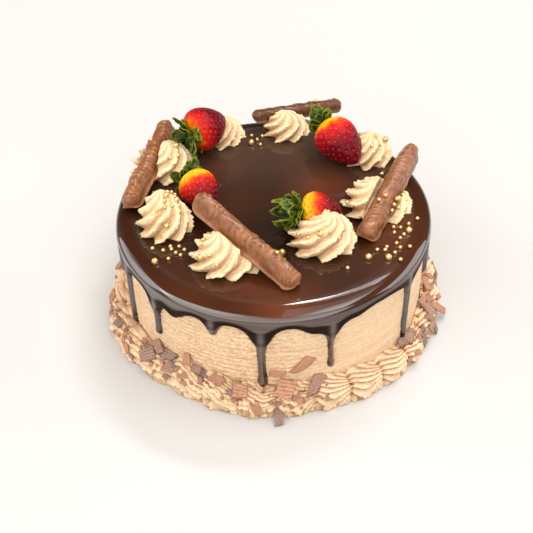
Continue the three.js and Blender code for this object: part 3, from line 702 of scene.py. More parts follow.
def glaze_rows():
    """Radius, height and turn of the glaze's rows, as columns: flat from the middle out, over a quarter
    ellipse at the shoulder and down the wall. The turn runs from 0 on the flat to a right angle."""
    flat = FLAT_RADIUS * np.array([0.1, 0.25, 0.4, 0.54, 0.66, 0.77, 0.86, 0.92, 0.95, 0.975, 0.99, 1])
    bend = np.linspace(0, np.pi / 2, 25)[1:]
    lowest = min(tip for _, tip, _ in DRIPS)
    drop = np.arange(GLAZE_TOP - SHOULDER_TALL, lowest - 2, -GLAZE_ROW)[1:]
    radius = np.concatenate([flat, FLAT_RADIUS + SHOULDER_WIDE * np.sin(bend), drop * 0])
    height = np.concatenate([flat * 0 + GLAZE_TOP, GLAZE_TOP - SHOULDER_TALL * (1 - np.cos(bend)), drop])
    turn = np.concatenate([flat * 0, bend, drop * 0 + np.pi / 2])
    return radius[:, None], height[:, None], turn[:, None]


def make_glaze():
    """The glaze as one closed skin: its rows, with the wall's swelled by the depth of skirt and drips, over
    a second sheet under them. Faces wholly sunk in the cream are left out."""
    radius, height, turn = glaze_rows()
    around, z = np.broadcast_arrays(np.radians(glaze_angles()), height)
    degrees = np.degrees(around)
    depth = glaze_depth(degrees, z)
    on_wall = turn >= np.pi / 2
    outer_radius = np.where(on_wall, WALL_RADIUS + depth, radius)
    swell = 0.12 * noise(on_circle(outer_radius, around, z), (22, 22, 9), 5)
    outer = on_circle(outer_radius + swell * np.sin(turn), around, z)
    under = SUNK + 0.3
    inner_radius = np.where(on_wall, WALL_RADIUS - under, radius - (under + SKIRT_THICK) * np.sin(turn))
    inner = on_circle(inner_radius, around, z - SKIN_THICK * np.cos(turn))
    keep = np.where(on_wall, depth, 1) > -0.55
    points, blocks, used = double_sheet(outer, inner, keep)
    piece = make("mirror_glaze", points, blocks)
    for name, values in glaze_looks(radius, degrees, z, on_wall).items():
        both = np.concatenate([values.ravel(), values.ravel(), [values[0].mean()] * 2])
        paint(piece, **{name: both[used]})
    return piece


def glaze_clouds(radius, degrees):
    """Painted red-brown reflection on the flat top: more towards the front edge and in a few soft round
    clouds.
    """
    x = radius * np.cos(np.radians(degrees))
    y = radius * np.sin(np.radians(degrees))
    clouds = sum(depth * np.exp(-(((x - cx) / wide) ** 2 + ((y - cy) / wide) ** 2))
                 for cx, cy, wide, depth in GLAZE_CLOUDS)
    return 0.03 + bells(EDGE_CLOUDS, degrees) * ease_between(radius, 48, 84) + clouds


def glaze_band(radius, degrees, z):
    """Share of the shoulder's dull band with its painted red-brown reflection, from the flat top out to where
    it ends.
    """
    end = BAND_END - bells(BAND_DIPS, degrees)
    outside = ease_between(radius, FLAT_RADIUS + 1.5, FLAT_RADIUS + 3.5)
    return outside * ease_between(z, end - 0.5, end + 0.5)


def glaze_lip(degrees, z):
    """Share of the dull dark lip along the skirt's lower edge. It stops at the root of each drip."""
    top = SKIRT_Z + 4.6 - 0.55 * bells(LOBES, degrees)
    roots = bells([(angle, 1, 1.1) for angle, _, _ in DRIPS], degrees)
    return (1 - ease_between(z, top - 1, top + 1)) * (1 - np.clip(roots, 0, 1))


def glaze_gloss(radius, degrees, z):
    """How mirror-like the shoulder and the wall are: streaks and patches of noise drawn out round the cake.
    On the left they are stronger, and two bright lines run there, as bells over the height."""
    left = ease_between(np.cos(np.radians(degrees + 155)), 0.55, 0.95)
    place = on_circle(GLAZE_RADIUS, np.radians(degrees), z + (GLAZE_RADIUS - radius) * 0.8)
    streaks = ease_between(noise(place, (34, 34, 1.4), 11), 0.0, 0.3) - 0.4
    patches = noise(place, (40, 40, 4), 12)
    upper = z - BAND_END + bells(BAND_DIPS, degrees) + 1
    bright = 0.5 * bell(upper, 0.5) + 0.4 * bell(z - BRIGHT_LINE, 0.8)
    return 0.68 + 0.2 * left + (0.4 * streaks + 0.3 * patches) * (0.6 + 0.4 * left) + bright * left


def glaze_looks(radius, degrees, z, on_wall):
    """The painted red-brown reflection, the painted dull reflection and how mirror-like the glaze is. From
    the middle outwards: a dark mirror with painted redder clouds and a painted dull reflection at the back,
    a bright line where the shoulder begins, the band, the streaked gloss and the lip. The drips are glossy."""
    radius = np.where(on_wall, GLAZE_RADIUS, radius)
    on_shoulder = ease_between(radius, FLAT_RADIUS + 1, FLAT_RADIUS + 3)
    on_drip = 1 - ease_between(z - skirt_edge(degrees), -3, 0)
    band = glaze_band(radius, degrees, z)
    lip = glaze_lip(degrees, z)
    flat = 0.42 + 0.58 * bell(radius - FLAT_RADIUS - 0.8, 1.5)
    sheen = flat + (glaze_gloss(radius, degrees, z) - flat) * on_shoulder
    sheen = sheen * (1 - 0.9 * band) * (1 - 0.97 * lip) + 0.4 * on_drip
    right = 0.5 + 0.5 * np.cos(np.radians(degrees + 55))
    clouds = glaze_clouds(radius, degrees)
    # Painted reflection: red-brown clouds on the flat top, an even share on the shoulder and more in the band
    thin = clouds + on_shoulder * (0.06 + 0.1 * right - clouds)
    thin = thin + band * (0.02 + 0.05 * right + bells(BAND_CLOUDS, degrees))
    # Painted reflection: a dull grey-brown veil towards the back of the flat top
    haze = 0.6 * ease_between(radius * np.sin(np.radians(degrees)), 5, 62) * (1 - on_shoulder)
    looks = {"thin": thin * (1 - lip), "haze": haze, "sheen": sheen}
    return {name: np.clip(values, 0, 1) for name, values in looks.items()}


def double_sheet(outer, inner, keep):
    """Points and blocks of faces of a closed body between two grids of points that close round, and which
    points are used. A quad is kept where any of its corners is, the first rows join a centre point, and the
    open rims are joined by a wall."""
    rows, columns = keep.shape
    i, j = np.indices((rows - 1, columns))
    upper = quads_between(i, j, columns, rows)[:, ::-1]
    upper = upper[keep.ravel()[upper].any(1)]
    count = rows * columns
    lower = upper[:, ::-1] + count
    starts = upper.ravel()
    ends = np.roll(upper, -1, 1).ravel()
    forward = starts.astype(np.int64) * count + ends
    backward = ends.astype(np.int64) * count + starts
    rim = ~np.isin(forward, backward) & (starts >= columns)
    walls = np.stack([ends[rim], starts[rim], starts[rim] + count, ends[rim] + count], -1)
    around = np.arange(columns)
    after = (around + 1) % columns
    top = np.stack([np.full(columns, 2 * count), around, after], -1)
    under = np.stack([np.full(columns, 2 * count + 1), after + count, around + count], -1)
    points = np.vstack([outer.reshape(-1, 3), inner.reshape(-1, 3), outer[0].mean(0), inner[0].mean(0)])
    blocks = [upper, lower, walls, top, under]
    used = np.unique(np.concatenate([block.ravel() for block in blocks]))
    fresh = np.zeros(len(points), int)
    fresh[used] = np.arange(len(used))
    return points[used], [fresh[block] for block in blocks], used


def border_point(place, share, inward=0):
    """One point of the border, at a place counted in shells and a share of the way from the wall down to
    the floor: a squarish quarter round whose size follows the shell's full head and slim tail, set in by a
    depth."""
    phase = place - np.floor(place)
    degrees = place * 360 / SHELLS
    body = 0.82 + 0.18 * np.sin(np.pi * phase ** 0.55)
    uneven = 0.94 + 0.1 * draw(np.floor(place) % SHELLS)
    wide = (BORDER_REACH + bells(BORDER_SPREADS, degrees)) * body * uneven
    tall = (BORDER_HEIGHT + bells(BORDER_SWELLS, degrees)) * body
    quarter = share * np.pi / 2
    reach = wide * np.sin(quarter) ** 0.65 - inward * np.sin(quarter)
    rise = tall * np.maximum(np.cos(quarter), 0) ** 0.65 - inward * np.cos(quarter)
    height = np.where(share >= 1, 0, np.maximum(rise, 0))
    return on_circle(WALL_RADIUS + np.maximum(reach, 0), np.radians(degrees), height)


def on_border(angle, share, inward=0):
    """A point of the border at an angle in degrees."""
    return border_point(np.float64(angle / 360 % 1 * SHELLS), np.float64(share), inward)


def border_relief(place, share):
    """Depth of the piping's relief and how shaded it is. Each shell is a stack of lips that sag in the
    middle and draw together towards its tail: the depth falls to nothing at a lip's edge and then drops
    back at once. Seams with small holes part the shells, except where the lips run on as on a rope, noise
    tears the edges, and the foot is ragged."""
    phase = place - np.floor(place)
    degrees = place * 360 / SHELLS
    spot = border_point(place, share)
    rope = np.clip(bells(BORDER_ROPE, degrees), 0, 1)
    jumble = 0.14 + bells(BORDER_JUMBLE, degrees)
    sag = LIPS * LIP_SAG * np.sin(np.pi * phase) + 0.6 * draw(np.floor(place) % SHELLS + 40)
    warp = jumble * (noise(spot, (9, 9, 7), 6) + 0.5 * noise(spot, (4, 4, 3), 7))
    spread = 1 - 0.45 * ease_between(phase, 0.3, 1) * (1 - rope)
    level = (share - 0.6) / spread + 0.6
    turn = LIPS * level - sag * (1 - rope) + warp + rope * 0.25 * (place - phase * (1 - rope))
    tooth = turn - np.floor(turn)
    lip = (1 - tooth) ** 0.8
    frayed = noise(spot, 1.4, 8) + 0.7 * noise(spot, 0.8, 13)
    seam = bell(np.minimum(phase, 1 - phase), 0.055) * (1 - 0.85 * rope)
    hole = np.clip(noise(spot, 2.3, 9) * 3 - 1.1 - 0.9 * (1 - seam) + jumble, 0, 1)
    lines = noise(np.stack([place * 5, turn * 9, place * 0], -1), 1, 10)
    depth = LIP_DEPTH * lip * spread + frayed * tooth ** 2 + SEAM_DEPTH * seam
    depth = np.maximum(depth + 1.6 * hole + 0.16 * lines, -0.2)
    shade = np.clip(0.95 * lip ** 2.2 + 0.4 * seam * lip + 0.8 * hole - 0.12 * tooth, 0, 1)
    foot = ease_between(share, 0.9, 0.97) * (0.5 + 0.9 * noise(spot * (1, 1, 0), 5, 14))
    return (depth + foot) * ease_between(share, 0, 0.05), shade


def make_border():
    """The piped border: a closed loop of sections, each the relief over its quarter round and back along
    the floor to the wall."""
    place = np.arange(SHELLS * SHELL_COLUMNS) / SHELL_COLUMNS
    along, down = two_grids(place, np.linspace(0, 1, BORDER_ROWS))
    depth, shade = border_relief(along, down)
    rings = border_point(along, down, depth)
    inner = on_circle(WALL_RADIUS, place * 2 * np.pi / SHELLS, 0)[:, None]
    piece = make("piped_border", *looped_skin(np.concatenate([inner, rings[:, ::-1]], 1)))
    # Painted shade: how shaded the relief is, under each lip, at the seams and in the holes, is painted as
    # the cream's deep colour; the hidden inner side is fully shaded
    paint(piece, groove=np.concatenate([np.ones((len(place), 1)), shade[:, ::-1]], 1))
    return piece


def swirl_valley(angle):
    """0 on a ridge and 1 in the valley next to it, steeper on one side: a sine of a share's power."""
    phase = SWIRL_RIDGES * angle / (2 * np.pi)
    return np.sin(np.pi * (phase - np.floor(phase)) ** SWIRL_SKEW)


def swirl_point(swirl, t, angle, wander=0):
    """One point of a swirl, at a share t of the way up: a dome drawn up to a leaning peak, with sharp ridges
    that wind round it as it rises and can wander sideways."""
    x, y, wide, deep, tall, lean_x, lean_y, turn = swirl
    quarter = t * np.pi / 2
    cut = SWIRL_CUT * (1 - 0.6 * t) * swirl_valley(angle + wander)
    reach = np.maximum(np.cos(quarter), 0) ** 0.8 * (1 - cut)
    turned = angle + turn + SWIRL_TWIST * t
    rise = tall * (0.82 * np.sin(quarter) + 0.18 * t ** 4)
    return np.stack([
        x + wide / 2 * reach * np.cos(turned) + lean_x * t ** 2,
        y + deep / 2 * reach * np.sin(turned) + lean_y * t ** 2,
        TABLE_TOP + rise,
    ], -1)


def make_swirl(number):
    """A piped swirl: the ridged dome pushed out from its axis by flow lines between the ridges, torn ridge
    edges and soft lumps, with dents where a finger or a strawberry rests against it."""
    swirl = SWIRLS[number]
    t, angle = two_grids((np.arange(SWIRL_ROWS) / SWIRL_ROWS) ** 0.9, round_angles(SWIRL_COLUMNS))
    rings = swirl_point(swirl, t, angle)
    wander = 0.13 * noise(rings, 8, 27 + number) + 0.05 * noise(rings, 3, 28 + number)
    rings = swirl_point(swirl, t, angle, wander)
    valley = swirl_valley(angle + wander)
    edge = bell(valley, 0.35)
    flow = np.sin(SWIRL_RIDGES * (angle + wander) * 6 + 3 * noise(rings, 9, 9 + number))
    torn = noise(rings, 1.6, 20 + number) + 0.7 * noise(rings, 0.9, 21 + number)
    lumps = noise(rings, 6, 22 + number)
    out = 0.5 * lumps + 1.15 * edge * torn + 0.26 * (1 - edge) * flow
    out = out + 0.25 * noise(rings, 1.1, 29 + number)
    axis = np.stack([swirl[0] + swirl[5] * t ** 2, swirl[1] + swirl[6] * t ** 2, rings[..., 2]], -1)
    spoke = rings - axis
    room = np.linalg.norm(spoke, axis=-1, keepdims=True)
    rings = rings + spoke / np.maximum(room, 0.5) * out[..., None] * np.minimum(room / 6, 1)
    rings[..., 2] += 0.35 * noise(rings, 3, 23 + number) * ease_between(t, 0.1, 0.3)
    rings = clear_of_berries(clear_of_fingers(rings))
    piece = make(f"piped_swirl_{number + 1}", *capped_skin(rings))
    # Painted shade: the deep colour in the valleys and along the flow lines, kept off the torn ridge edges
    groove = np.clip(0.85 * valley ** 1.6 * (1 - 0.5 * t) + 0.2 * flow * (1 - edge) - 0.25 * edge, 0, 1)
    paint(piece, groove=with_poles(groove))
    return piece


def finger_frame(finger):
    """Start, length and the directions along, up and sideways of a finger, rolled about its length."""
    low, high, _, _, roll = finger
    start = np.array(low, float) + (0, 0, GLAZE_TOP)
    reach = np.array(high, float) + (0, 0, GLAZE_TOP) - start
    along = unit(reach)
    up = unit(np.array([0, 0, 1.0]) - along * along[2])
    up = up * math.cos(roll) + np.cross(along, up) * math.sin(roll)
    return start, np.linalg.norm(reach), along, up, np.cross(up, along)


def clear_of_fingers(points):
    """Pushes points that lie in a finger down to just under it."""
    for finger in FINGERS:
        start, length, along, up, side = finger_frame(finger)
        distance = (points - start) @ along
        across = (points - start) @ side
        height = (points - start) @ up
        under = -finger[3] / 2 - 0.3
        beside = ease_between(np.abs(across), finger[2] / 2 + 0.2, finger[2] / 2 + 1.2)
        past_end = ease_between(distance, length - 0.5, length + 1)
        near = (1 - beside) * ease_between(distance, -1, 0.5) * (1 - past_end)
        sink = np.maximum(height - under, 0) * near
        points = points - up * sink[..., None]
        points[..., 2] = np.maximum(points[..., 2], TABLE_TOP)
    return points


def berry_frame(berry):
    """Start, length and the directions along, across and over a strawberry, from its cap to its tip."""
    cap, tip = (np.array(p, float) + (0, 0, GLAZE_TOP) for p in berry[:2])
    along = unit(tip - cap)
    across = unit(np.cross([0, 0, 1.0], along))
    return cap, np.linalg.norm(tip - cap), along, across, np.cross(along, across)


def berry_place(frame_of, distance, radius, angle):
    """A point at a distance along a strawberry's axis, and a radius and an angle round it."""
    cap, _, *directions = frame_of
    return measured(cap, directions, distance, radius * np.cos(angle), radius * np.sin(angle))


def berry_width(share):
    """Share of the largest radius at a share of the length: a full shoulder that runs out to a cone, as a
    power of the sine of the share's power."""
    return np.maximum(np.sin(np.pi * np.clip(share, 0, 1) ** 0.66), 0) ** 0.64


def clear_of_berries(points):
    """Pushes points that lie in a strawberry straight out from its axis to just off its skin."""
    for berry in BERRIES:
        cap, length, along, _, _ = berry_frame(berry)
        distance = (points - cap) @ along
        foot = cap + distance[..., None] * along
        spoke = points - foot
        away = np.linalg.norm(spoke, axis=-1)
        room = berry[2] * berry_width(distance / length) + 0.3
        push = np.where((distance > 0) & (distance < length), np.maximum(room - away, 0), 0)
        points = points + spoke / np.maximum(away, 0.01)[..., None] * push[..., None]
        points[..., 2] = np.maximum(points[..., 2], TABLE_TOP)
    return points


def finger_section(columns):
    """A finger's section, as shares of half its width and of its height: a superellipse back that comes
    down to a thin foot wider than itself, and a flat base."""
    back = int(columns * 0.8)
    phi = np.linspace(0, np.pi, back)
    level = np.abs(np.sin(phi)) ** 0.8
    side = np.sign(np.cos(phi)) * np.abs(np.cos(phi)) ** 0.7
    foot = np.exp(-((level / 0.13) ** 4))
    across = side * 0.85 + np.sign(side) * 0.15 * foot
    base = np.linspace(-0.97, 0.97, columns - back)
    return (np.concatenate([across, base]), np.concatenate([level, base * 0]),
            np.concatenate([foot, base * 0 + 1]))


def finger_ripples(number, spot):
    """Ripples over a finger, how strong they are and the soft lumps between them, at points given along,
    across and up: a cosine along the length whose phase slants across the back and wanders."""
    slant = 0.07 * spot[..., 1] + 1.1 * noise(spot, (12, 9, 9), 30 + number)
    slant = slant + 0.3 * noise(spot, 4, 32 + number)
    ripple = 0.5 + 0.5 * np.cos(2 * np.pi * (spot[..., 0] / RIPPLE_PITCH + slant))
    strength = np.clip(0.45 + 1.1 * noise(spot, (7, 5, 5), 34 + number), 0, 1)
    lumps = noise(spot, (9, 6, 6), 38 + number) + 0.5 * noise(spot, 3.5, 39 + number)
    return ripple, strength, lumps


def make_finger(number):
    """A coated finger: its section carried along the length and rounded off at the ends, pushed out by
    ripples across its back and by lumps, on a foot of uneven width. Painted shade lies in the creases
    between the ripples."""
    finger = FINGERS[number]
    wide, tall = finger[2:4]
    start, length, along, up, side = finger_frame(finger)
    half = wide / 2
    across, level, foot = finger_section(FINGER_COLUMNS)
    distance, x = two_grids(length * end_weighted(FINGER_ROWS), across * half)
    y = level[None, :] + distance * 0
    lip = foot[None, :] + distance * 0
    spot = np.stack([distance, x, y * tall], -1)
    ripple, strength, lumps = finger_ripples(number, spot)
    from_end = np.minimum(distance, length - distance) / half
    nose = np.where(from_end < 1, np.sqrt(np.maximum(1 - (1 - from_end) ** 2.2, 0)), 1)
    swell = 1.15 * (1 - ripple) * strength * ease_between(y, 0.2, 0.8)
    swell = swell + 0.7 * lumps * ease_between(y, 0.05, 0.4) - 0.65
    x = x * (1 - 0.06 * lip * (1 + noise(spot, (5, 50, 50), 42 + number)))
    scale = 0.05 + 0.95 * nose
    out = np.stack([np.sign(x) * np.abs(x / half) ** 2 * scale, y], -1)
    room = np.maximum(np.linalg.norm(out, axis=-1, keepdims=True), 0.3)
    out = out / room * (swell * (1 - lip) * nose)[..., None]
    sideways = x * scale + out[..., 0]
    height = (y - 0.5) * scale * tall + out[..., 1]
    rings = measured(start, (along, side, up), distance, sideways, height)
    piece = make(f"coated_finger_{number + 1}", *capped_skin(rings))
    # Painted shade: in the creases between the ripples, and over the whole of the one finger that lies in
    # shade
    crease = 0.5 * ripple ** 3 * strength * (0.5 + lumps) * ease_between(y, 0.2, 0.7)
    shade = np.clip(crease + (0.75 if number == SHADED_FINGER else 0), 0, 1)
    # Painted highlight: on the ripples' crests, more towards the top of the back
    crest = (1 - ripple) * strength * y
    paint(piece, foot=with_poles(lip), crest=with_poles(crest), shade=with_poles(shade))
    return piece


def seed_places(berry):
    """Shares of the length and angles of the seeds: a golden-angle spiral, even by area."""
    share = np.linspace(0, 1, 400)
    area = np.cumsum(berry_width(share) + 0.05)
    want = (np.arange(BERRY_SEEDS) + 0.5) / BERRY_SEEDS * area[-1]
    return np.interp(want, area, share), np.arange(BERRY_SEEDS) * GOLDEN_ANGLE


def make_berry(number):
    """A strawberry: its full shoulder and cone, with a pit round each seed, as a bell over the distance to
    the nearest one, and soft swells between."""
    berry = BERRIES[number]
    radius, yellow, upper = berry[2], berry[6], berry[7]
    frame_of = berry_frame(berry)
    length = frame_of[1]
    share, angle = two_grids(end_weighted(BERRY_ROWS), round_angles(BERRY_COLUMNS))
    width = radius * berry_width(share)
    points = berry_place(frame_of, length * share, width, angle)
    seed_share, seed_angle = seed_places(berry)
    seeds = berry_place(frame_of, length * seed_share, radius * berry_width(seed_share), seed_angle)
    nearest = np.full(share.shape, 99.0)
    for seed in seeds:
        nearest = np.minimum(nearest, np.linalg.norm(points - seed, axis=-1))
    pit = bell(nearest, 1.2)
    swell = 0.25 * noise(points, 7, 50 + number)
    depth = 0.75 * pit + 0.1 - swell
    rings = berry_place(frame_of, length * share, np.maximum(width - depth, 0.1), angle)
    piece = make(f"berry_{number + 1}", *capped_skin(rings))
    patchy = 0.05 * noise(points, 6, 60 + number) + 0.03 * noise(points, 2.5, 64 + number)
    ripe = 0.25 + (share - yellow - upper * np.sin(angle) + patchy) * 1.6
    # Painted shade: the pits are painted darker as well as sunk
    paint(piece, ripe=with_poles(np.clip(ripe, 0, 1)), pit=with_poles(pit))
    return piece


def seed_point(berry, share, angle):
    """A point as deep under a strawberry's skin as its seeds lie, at a share of its length."""
    frame_of = berry_frame(berry)
    return berry_place(frame_of, frame_of[1] * share, berry[2] * berry_width(share) - SEED_DEPTH, angle)


def make_seeds(number):
    """The seeds of one strawberry: small pointed drops that lie in their pits, along the berry."""
    berry = BERRIES[number]
    share, angle = seed_places(berry)
    frame_of = berry_frame(berry)
    centres = seed_point(berry, share, angle)
    along = seed_point(berry, share + 0.01, angle) - centres
    outward = centres - berry_place(frame_of, frame_of[1] * share, share * 0, angle)
    drops = [drop(centre, unit(run), unit(out)) for centre, run, out in zip(centres, along, outward)]
    return make(f"seeds_{number + 1}", *joined(drops))


def drop(centre, along, outward):
    """Points and faces of one seed: rings of six whose radius follows a sine, pointed towards the tip."""
    directions = (along, np.cross(along, outward), outward)
    share, angle = two_grids([0.15, 0.45, 0.8], round_angles(6))
    run = (share - 0.5) * SEED_LONG
    radius = SEED_RADIUS * np.sin(np.pi * share ** 0.8)
    sideways, out = radius * np.cos(angle), radius * 0.7 * np.sin(angle)
    return capped_skin(measured(centre, directions, run, sideways, out))


def calyx_point(berry, share, angle, offset, layer):
    """One point of a calyx face: a star of leaves, as a small power of a cosine round it, that curl back
    from the berry, every other one further, wave, and stop short of the glaze. A layer has its own turn,
    size and curl."""
    frame_of = berry_frame(berry)
    _, _, _, leaf_long, curl, turn, _, _ = berry
    extra_turn, size, bend = layer
    leaf = np.abs(np.cos(LEAVES * angle / 2)) ** LEAF_POINT
    number = np.round(angle * LEAVES / (2 * np.pi)) % LEAVES
    fold = np.where(number % 2 == 1, LEAF_FOLD, -LEAF_FOLD)
    back = (curl * bend + fold) * (0.4 + 0.6 * leaf) * share
    start_z = frame_of[0][2]

    def place(reach, off):
        return berry_place(frame_of, -1 - reach * np.sin(back) - off * np.cos(back),
                           reach * np.cos(back) - off * np.sin(back), angle + turn + extra_turn)

    fall = start_z - place(np.ones_like(angle), np.zeros_like(angle))[..., 2]
    room = np.where(fall > 0, (start_z - TABLE_TOP - LEAF_THICK * 2) / np.maximum(fall, 1e-6), np.inf)
    long = np.minimum(leaf_long * size * (0.78 + 0.3 * draw(number + extra_turn)), room)
    wave = 0.9 * share ** 2 * np.sin(LEAVES * 0.5 * angle + leaf_long)
    return place(share * (LEAF_ROOT + (long - LEAF_ROOT) * leaf), offset + wave)


def make_calyx(number):
    """The leaves of one strawberry: layers of the curled star, each cupped, crinkled and toothed."""
    berry = BERRIES[number]
    share, around = two_grids(np.arange(1, LEAF_ROWS + 1) / LEAF_ROWS, round_angles(LEAVES * LEAF_COLUMNS))
    leaf = np.abs(np.cos(LEAVES * around / 2))
    vein = bell(1 - leaf, 0.012) * (1 - share * 0.5)
    edge = np.clip(0.6 * ease_between(share, 0.88, 1) + 0.35 * vein, 0, 1)
    tooth = 1 - 0.04 * np.abs(np.sin(around * LEAVES * 4)) * ease_between(share, 0.75, 1)
    layers, edges = [], []
    for k, layer in enumerate(LEAF_LAYERS):
        spot = np.stack([np.cos(around) * share * 15, np.sin(around) * share * 15,
                         share * 0 + number * 9 + k * 30], -1)
        crinkle = share * (2 * noise(spot, 4, 70) + 0.8 * noise(spot, 2, 71)) - 2.2 * share * (1 - leaf)
        outer = calyx_point(berry, share * tooth, around, LEAF_THICK * 0.6 + crinkle + k, layer)
        inner = calyx_point(berry, share * tooth, around, crinkle + k, layer)
        layers.append(capped_skin(np.concatenate([outer, inner[::-1]])))
        edges.append(with_poles(np.concatenate([edge, edge[::-1]])))
    piece = make(f"leaves_{number + 1}", *joined(layers))
    paint(piece, edge=np.concatenate(edges))
    return piece


def flake_body(centre, slope, angle, turn, size, seed):
    """Points, faces and painted shade of one flake: a thin bent slab with broken, uneven edges and a ridged
    face, shaded in the hollows between the ridges and on the underside. It slopes outwards, is turned in
    its own plane, and never lies below the floor."""
    long, wide, thick = size
    u, v = two_grids(np.linspace(-1, 1, FLAKE_ROWS), np.linspace(-1, 1, FLAKE_COLUMNS))
    rough = np.stack([u * 3, v * 3, u * 0 + seed], -1)
    skew, taper, curl = (float(draw(seed * 3 + k)) - 0.5 for k in range(3))
    x = u * long / 2 * (1 - 0.14 * np.abs(noise(rough, 0.9, 3 + seed))) + skew * 0.5 * v * wide / 2
    y = v * wide / 2 * (1 - 0.22 * np.abs(noise(rough, 0.7, 5 + seed))) * (1 + 0.5 * taper * u)
    bend = curl * (u ** 2 - 0.4) * min(2.4, long / 6)
    ridge = 0.2 * np.cos(v * np.pi * 4.5 + seed) + 0.22 * noise(rough, 0.45, seed)
    rim = np.maximum(np.abs(u), np.abs(v)) ** 8
    top = thick / 2 - 0.37 + ridge * (1 - 0.5 * rim) - 0.2 * rim
    low = -thick / 2 + 0.25 * rim
    upper = np.stack([x, y, top + bend], -1).reshape(-1, 3)
    lower = np.stack([x, y, low + bend], -1).reshape(-1, 3)
    shape = np.vstack([upper, lower]) @ turned_frame(slope, angle, turn).T + centre
    shape[:, 2] += max(0, 0.3 - shape[:, 2].min())
    # Painted shade: darker where the ridged face dips, and a fixed share on the underside
    streak = np.clip(0.45 - 2 * ridge, 0, 1).ravel()
    return shape, [slab_faces(FLAKE_ROWS, FLAKE_COLUMNS)], np.concatenate([streak, streak * 0 + 0.6])


def slab_faces(rows, columns):
    """Faces of a slab of two grids of points, one over the other."""
    i, j = np.indices((rows - 1, columns - 1))
    corner = (i * columns + j).ravel()
    upper = np.stack([corner, corner + columns, corner + columns + 1, corner + 1], -1)
    under = upper[:, ::-1] + rows * columns
    grid = np.arange(rows * columns).reshape(rows, columns)
    rim = np.concatenate([grid[:, 0], grid[-1, 1:], grid[-2::-1, -1], grid[0, -2:0:-1]])
    after = np.roll(rim, -1)
    walls = np.stack([after, rim, rim + rows * columns, after + rows * columns], -1)
    return np.vstack([upper, under, walls])


def turned_frame(slope, angle, turn):
    """Matrix of a slab that is turned in its own plane, then sloped outwards, then turned to its angle."""
    rotations = [Matrix.Rotation(math.radians(angle), 3, "Z"), Matrix.Rotation(math.radians(slope), 3, "Y"),
                 Matrix.Rotation(math.radians(turn), 3, "Z")]
    return np.array(rotations[0] @ rotations[1] @ rotations[2])


def large_flakes():
    """The flakes that the border and the side of the cake carry, each with how grey it is."""
    for number, (angle, share, long, wide, turn, lean, lift) in enumerate(FLAKES):
        size = (long, wide, FLAKE_THICK)
        centre = on_border(angle, share) + (0, 0, lift)
        yield *flake_body(centre, 90 * share + lean, angle, turn, size, number), draw(number) ** 2
    for number, (angle, z, long, wide, turn) in enumerate(SIDE_FLAKES):
        size = (long, wide, FLAKE_THICK)
        centre = on_circle(CAKE_RADIUS + FLAKE_THICK / 4, math.radians(angle), z)
        yield *flake_body(centre, 90, angle, turn, size, 60 + number), 0.0


def crumbs():
    """Small flakes strewn over the border by repeatable draws, each with how grey it is."""
    for first, last, count, mean in CRUMBS:
        for i in range(count):
            step, down, bulk, width, spin = (float(draw(i * 5 + k + first * 3.1)) for k in range(5))
            angle = first + (last - first) * (i + step) / count
            share = 0.08 + 0.8 * down
            long = mean * (0.6 + 0.9 * bulk)
            size = (long, long * (0.45 + 0.4 * width), 1.1 + 0.7 * step)
            slope = 90 * share + 50 * (width - 0.5)
            centre = on_border(angle, share, -0.3)
            yield *flake_body(centre, slope, angle, 180 * spin, size, 100 + i), bulk ** 3


def make_flakes():
    """All the chocolate flakes and crumbs as one piece, painted with how grey they are and with their shade.
    """
    # The streaks are each flake's painted shade
    shapes, faces, streaks, greys = zip(*large_flakes(), *crumbs())
    piece = make("chocolate_flakes", *joined(list(zip(shapes, faces))))
    greys = [np.full(len(shape), grey) for shape, grey in zip(shapes, greys)]
    paint(piece, grey=np.concatenate(greys), streak=np.concatenate(streaks))
    return piece


def plan_distance(x, y, start, end):
    """Distance in plan from a point to the line between two ends."""
    run = np.array(end[:2], float) - start[:2]
    share = np.clip(np.dot([x - start[0], y - start[1]], run) / np.dot(run, run), 0, 1)
    return math.hypot(x - start[0] - share * run[0], y - start[1] - share * run[1])


def clear_of_toppings(x, y, room):
    """Whether a round thing of this radius clears every swirl, finger and strawberry in plan."""
    off_swirls = all(((x - s[0]) / (s[2] / 2 + room)) ** 2 + ((y - s[1]) / (s[3] / 2 + room)) ** 2 > 1
                     for s in SWIRLS)
    off_fingers = all(plan_distance(x, y, f[0], f[1]) > f[2] / 2 + room for f in FINGERS)
    off_berries = all(plan_distance(x, y, b[0], b[1]) > b[2] + room for b in BERRIES)
    return off_swirls and off_fingers and off_berries


def pearl_radius(number):
    """The third pearl of each group and every sixth after it are large."""
    return PEARL_LARGE if number % 6 == 2 else PEARL_SMALL


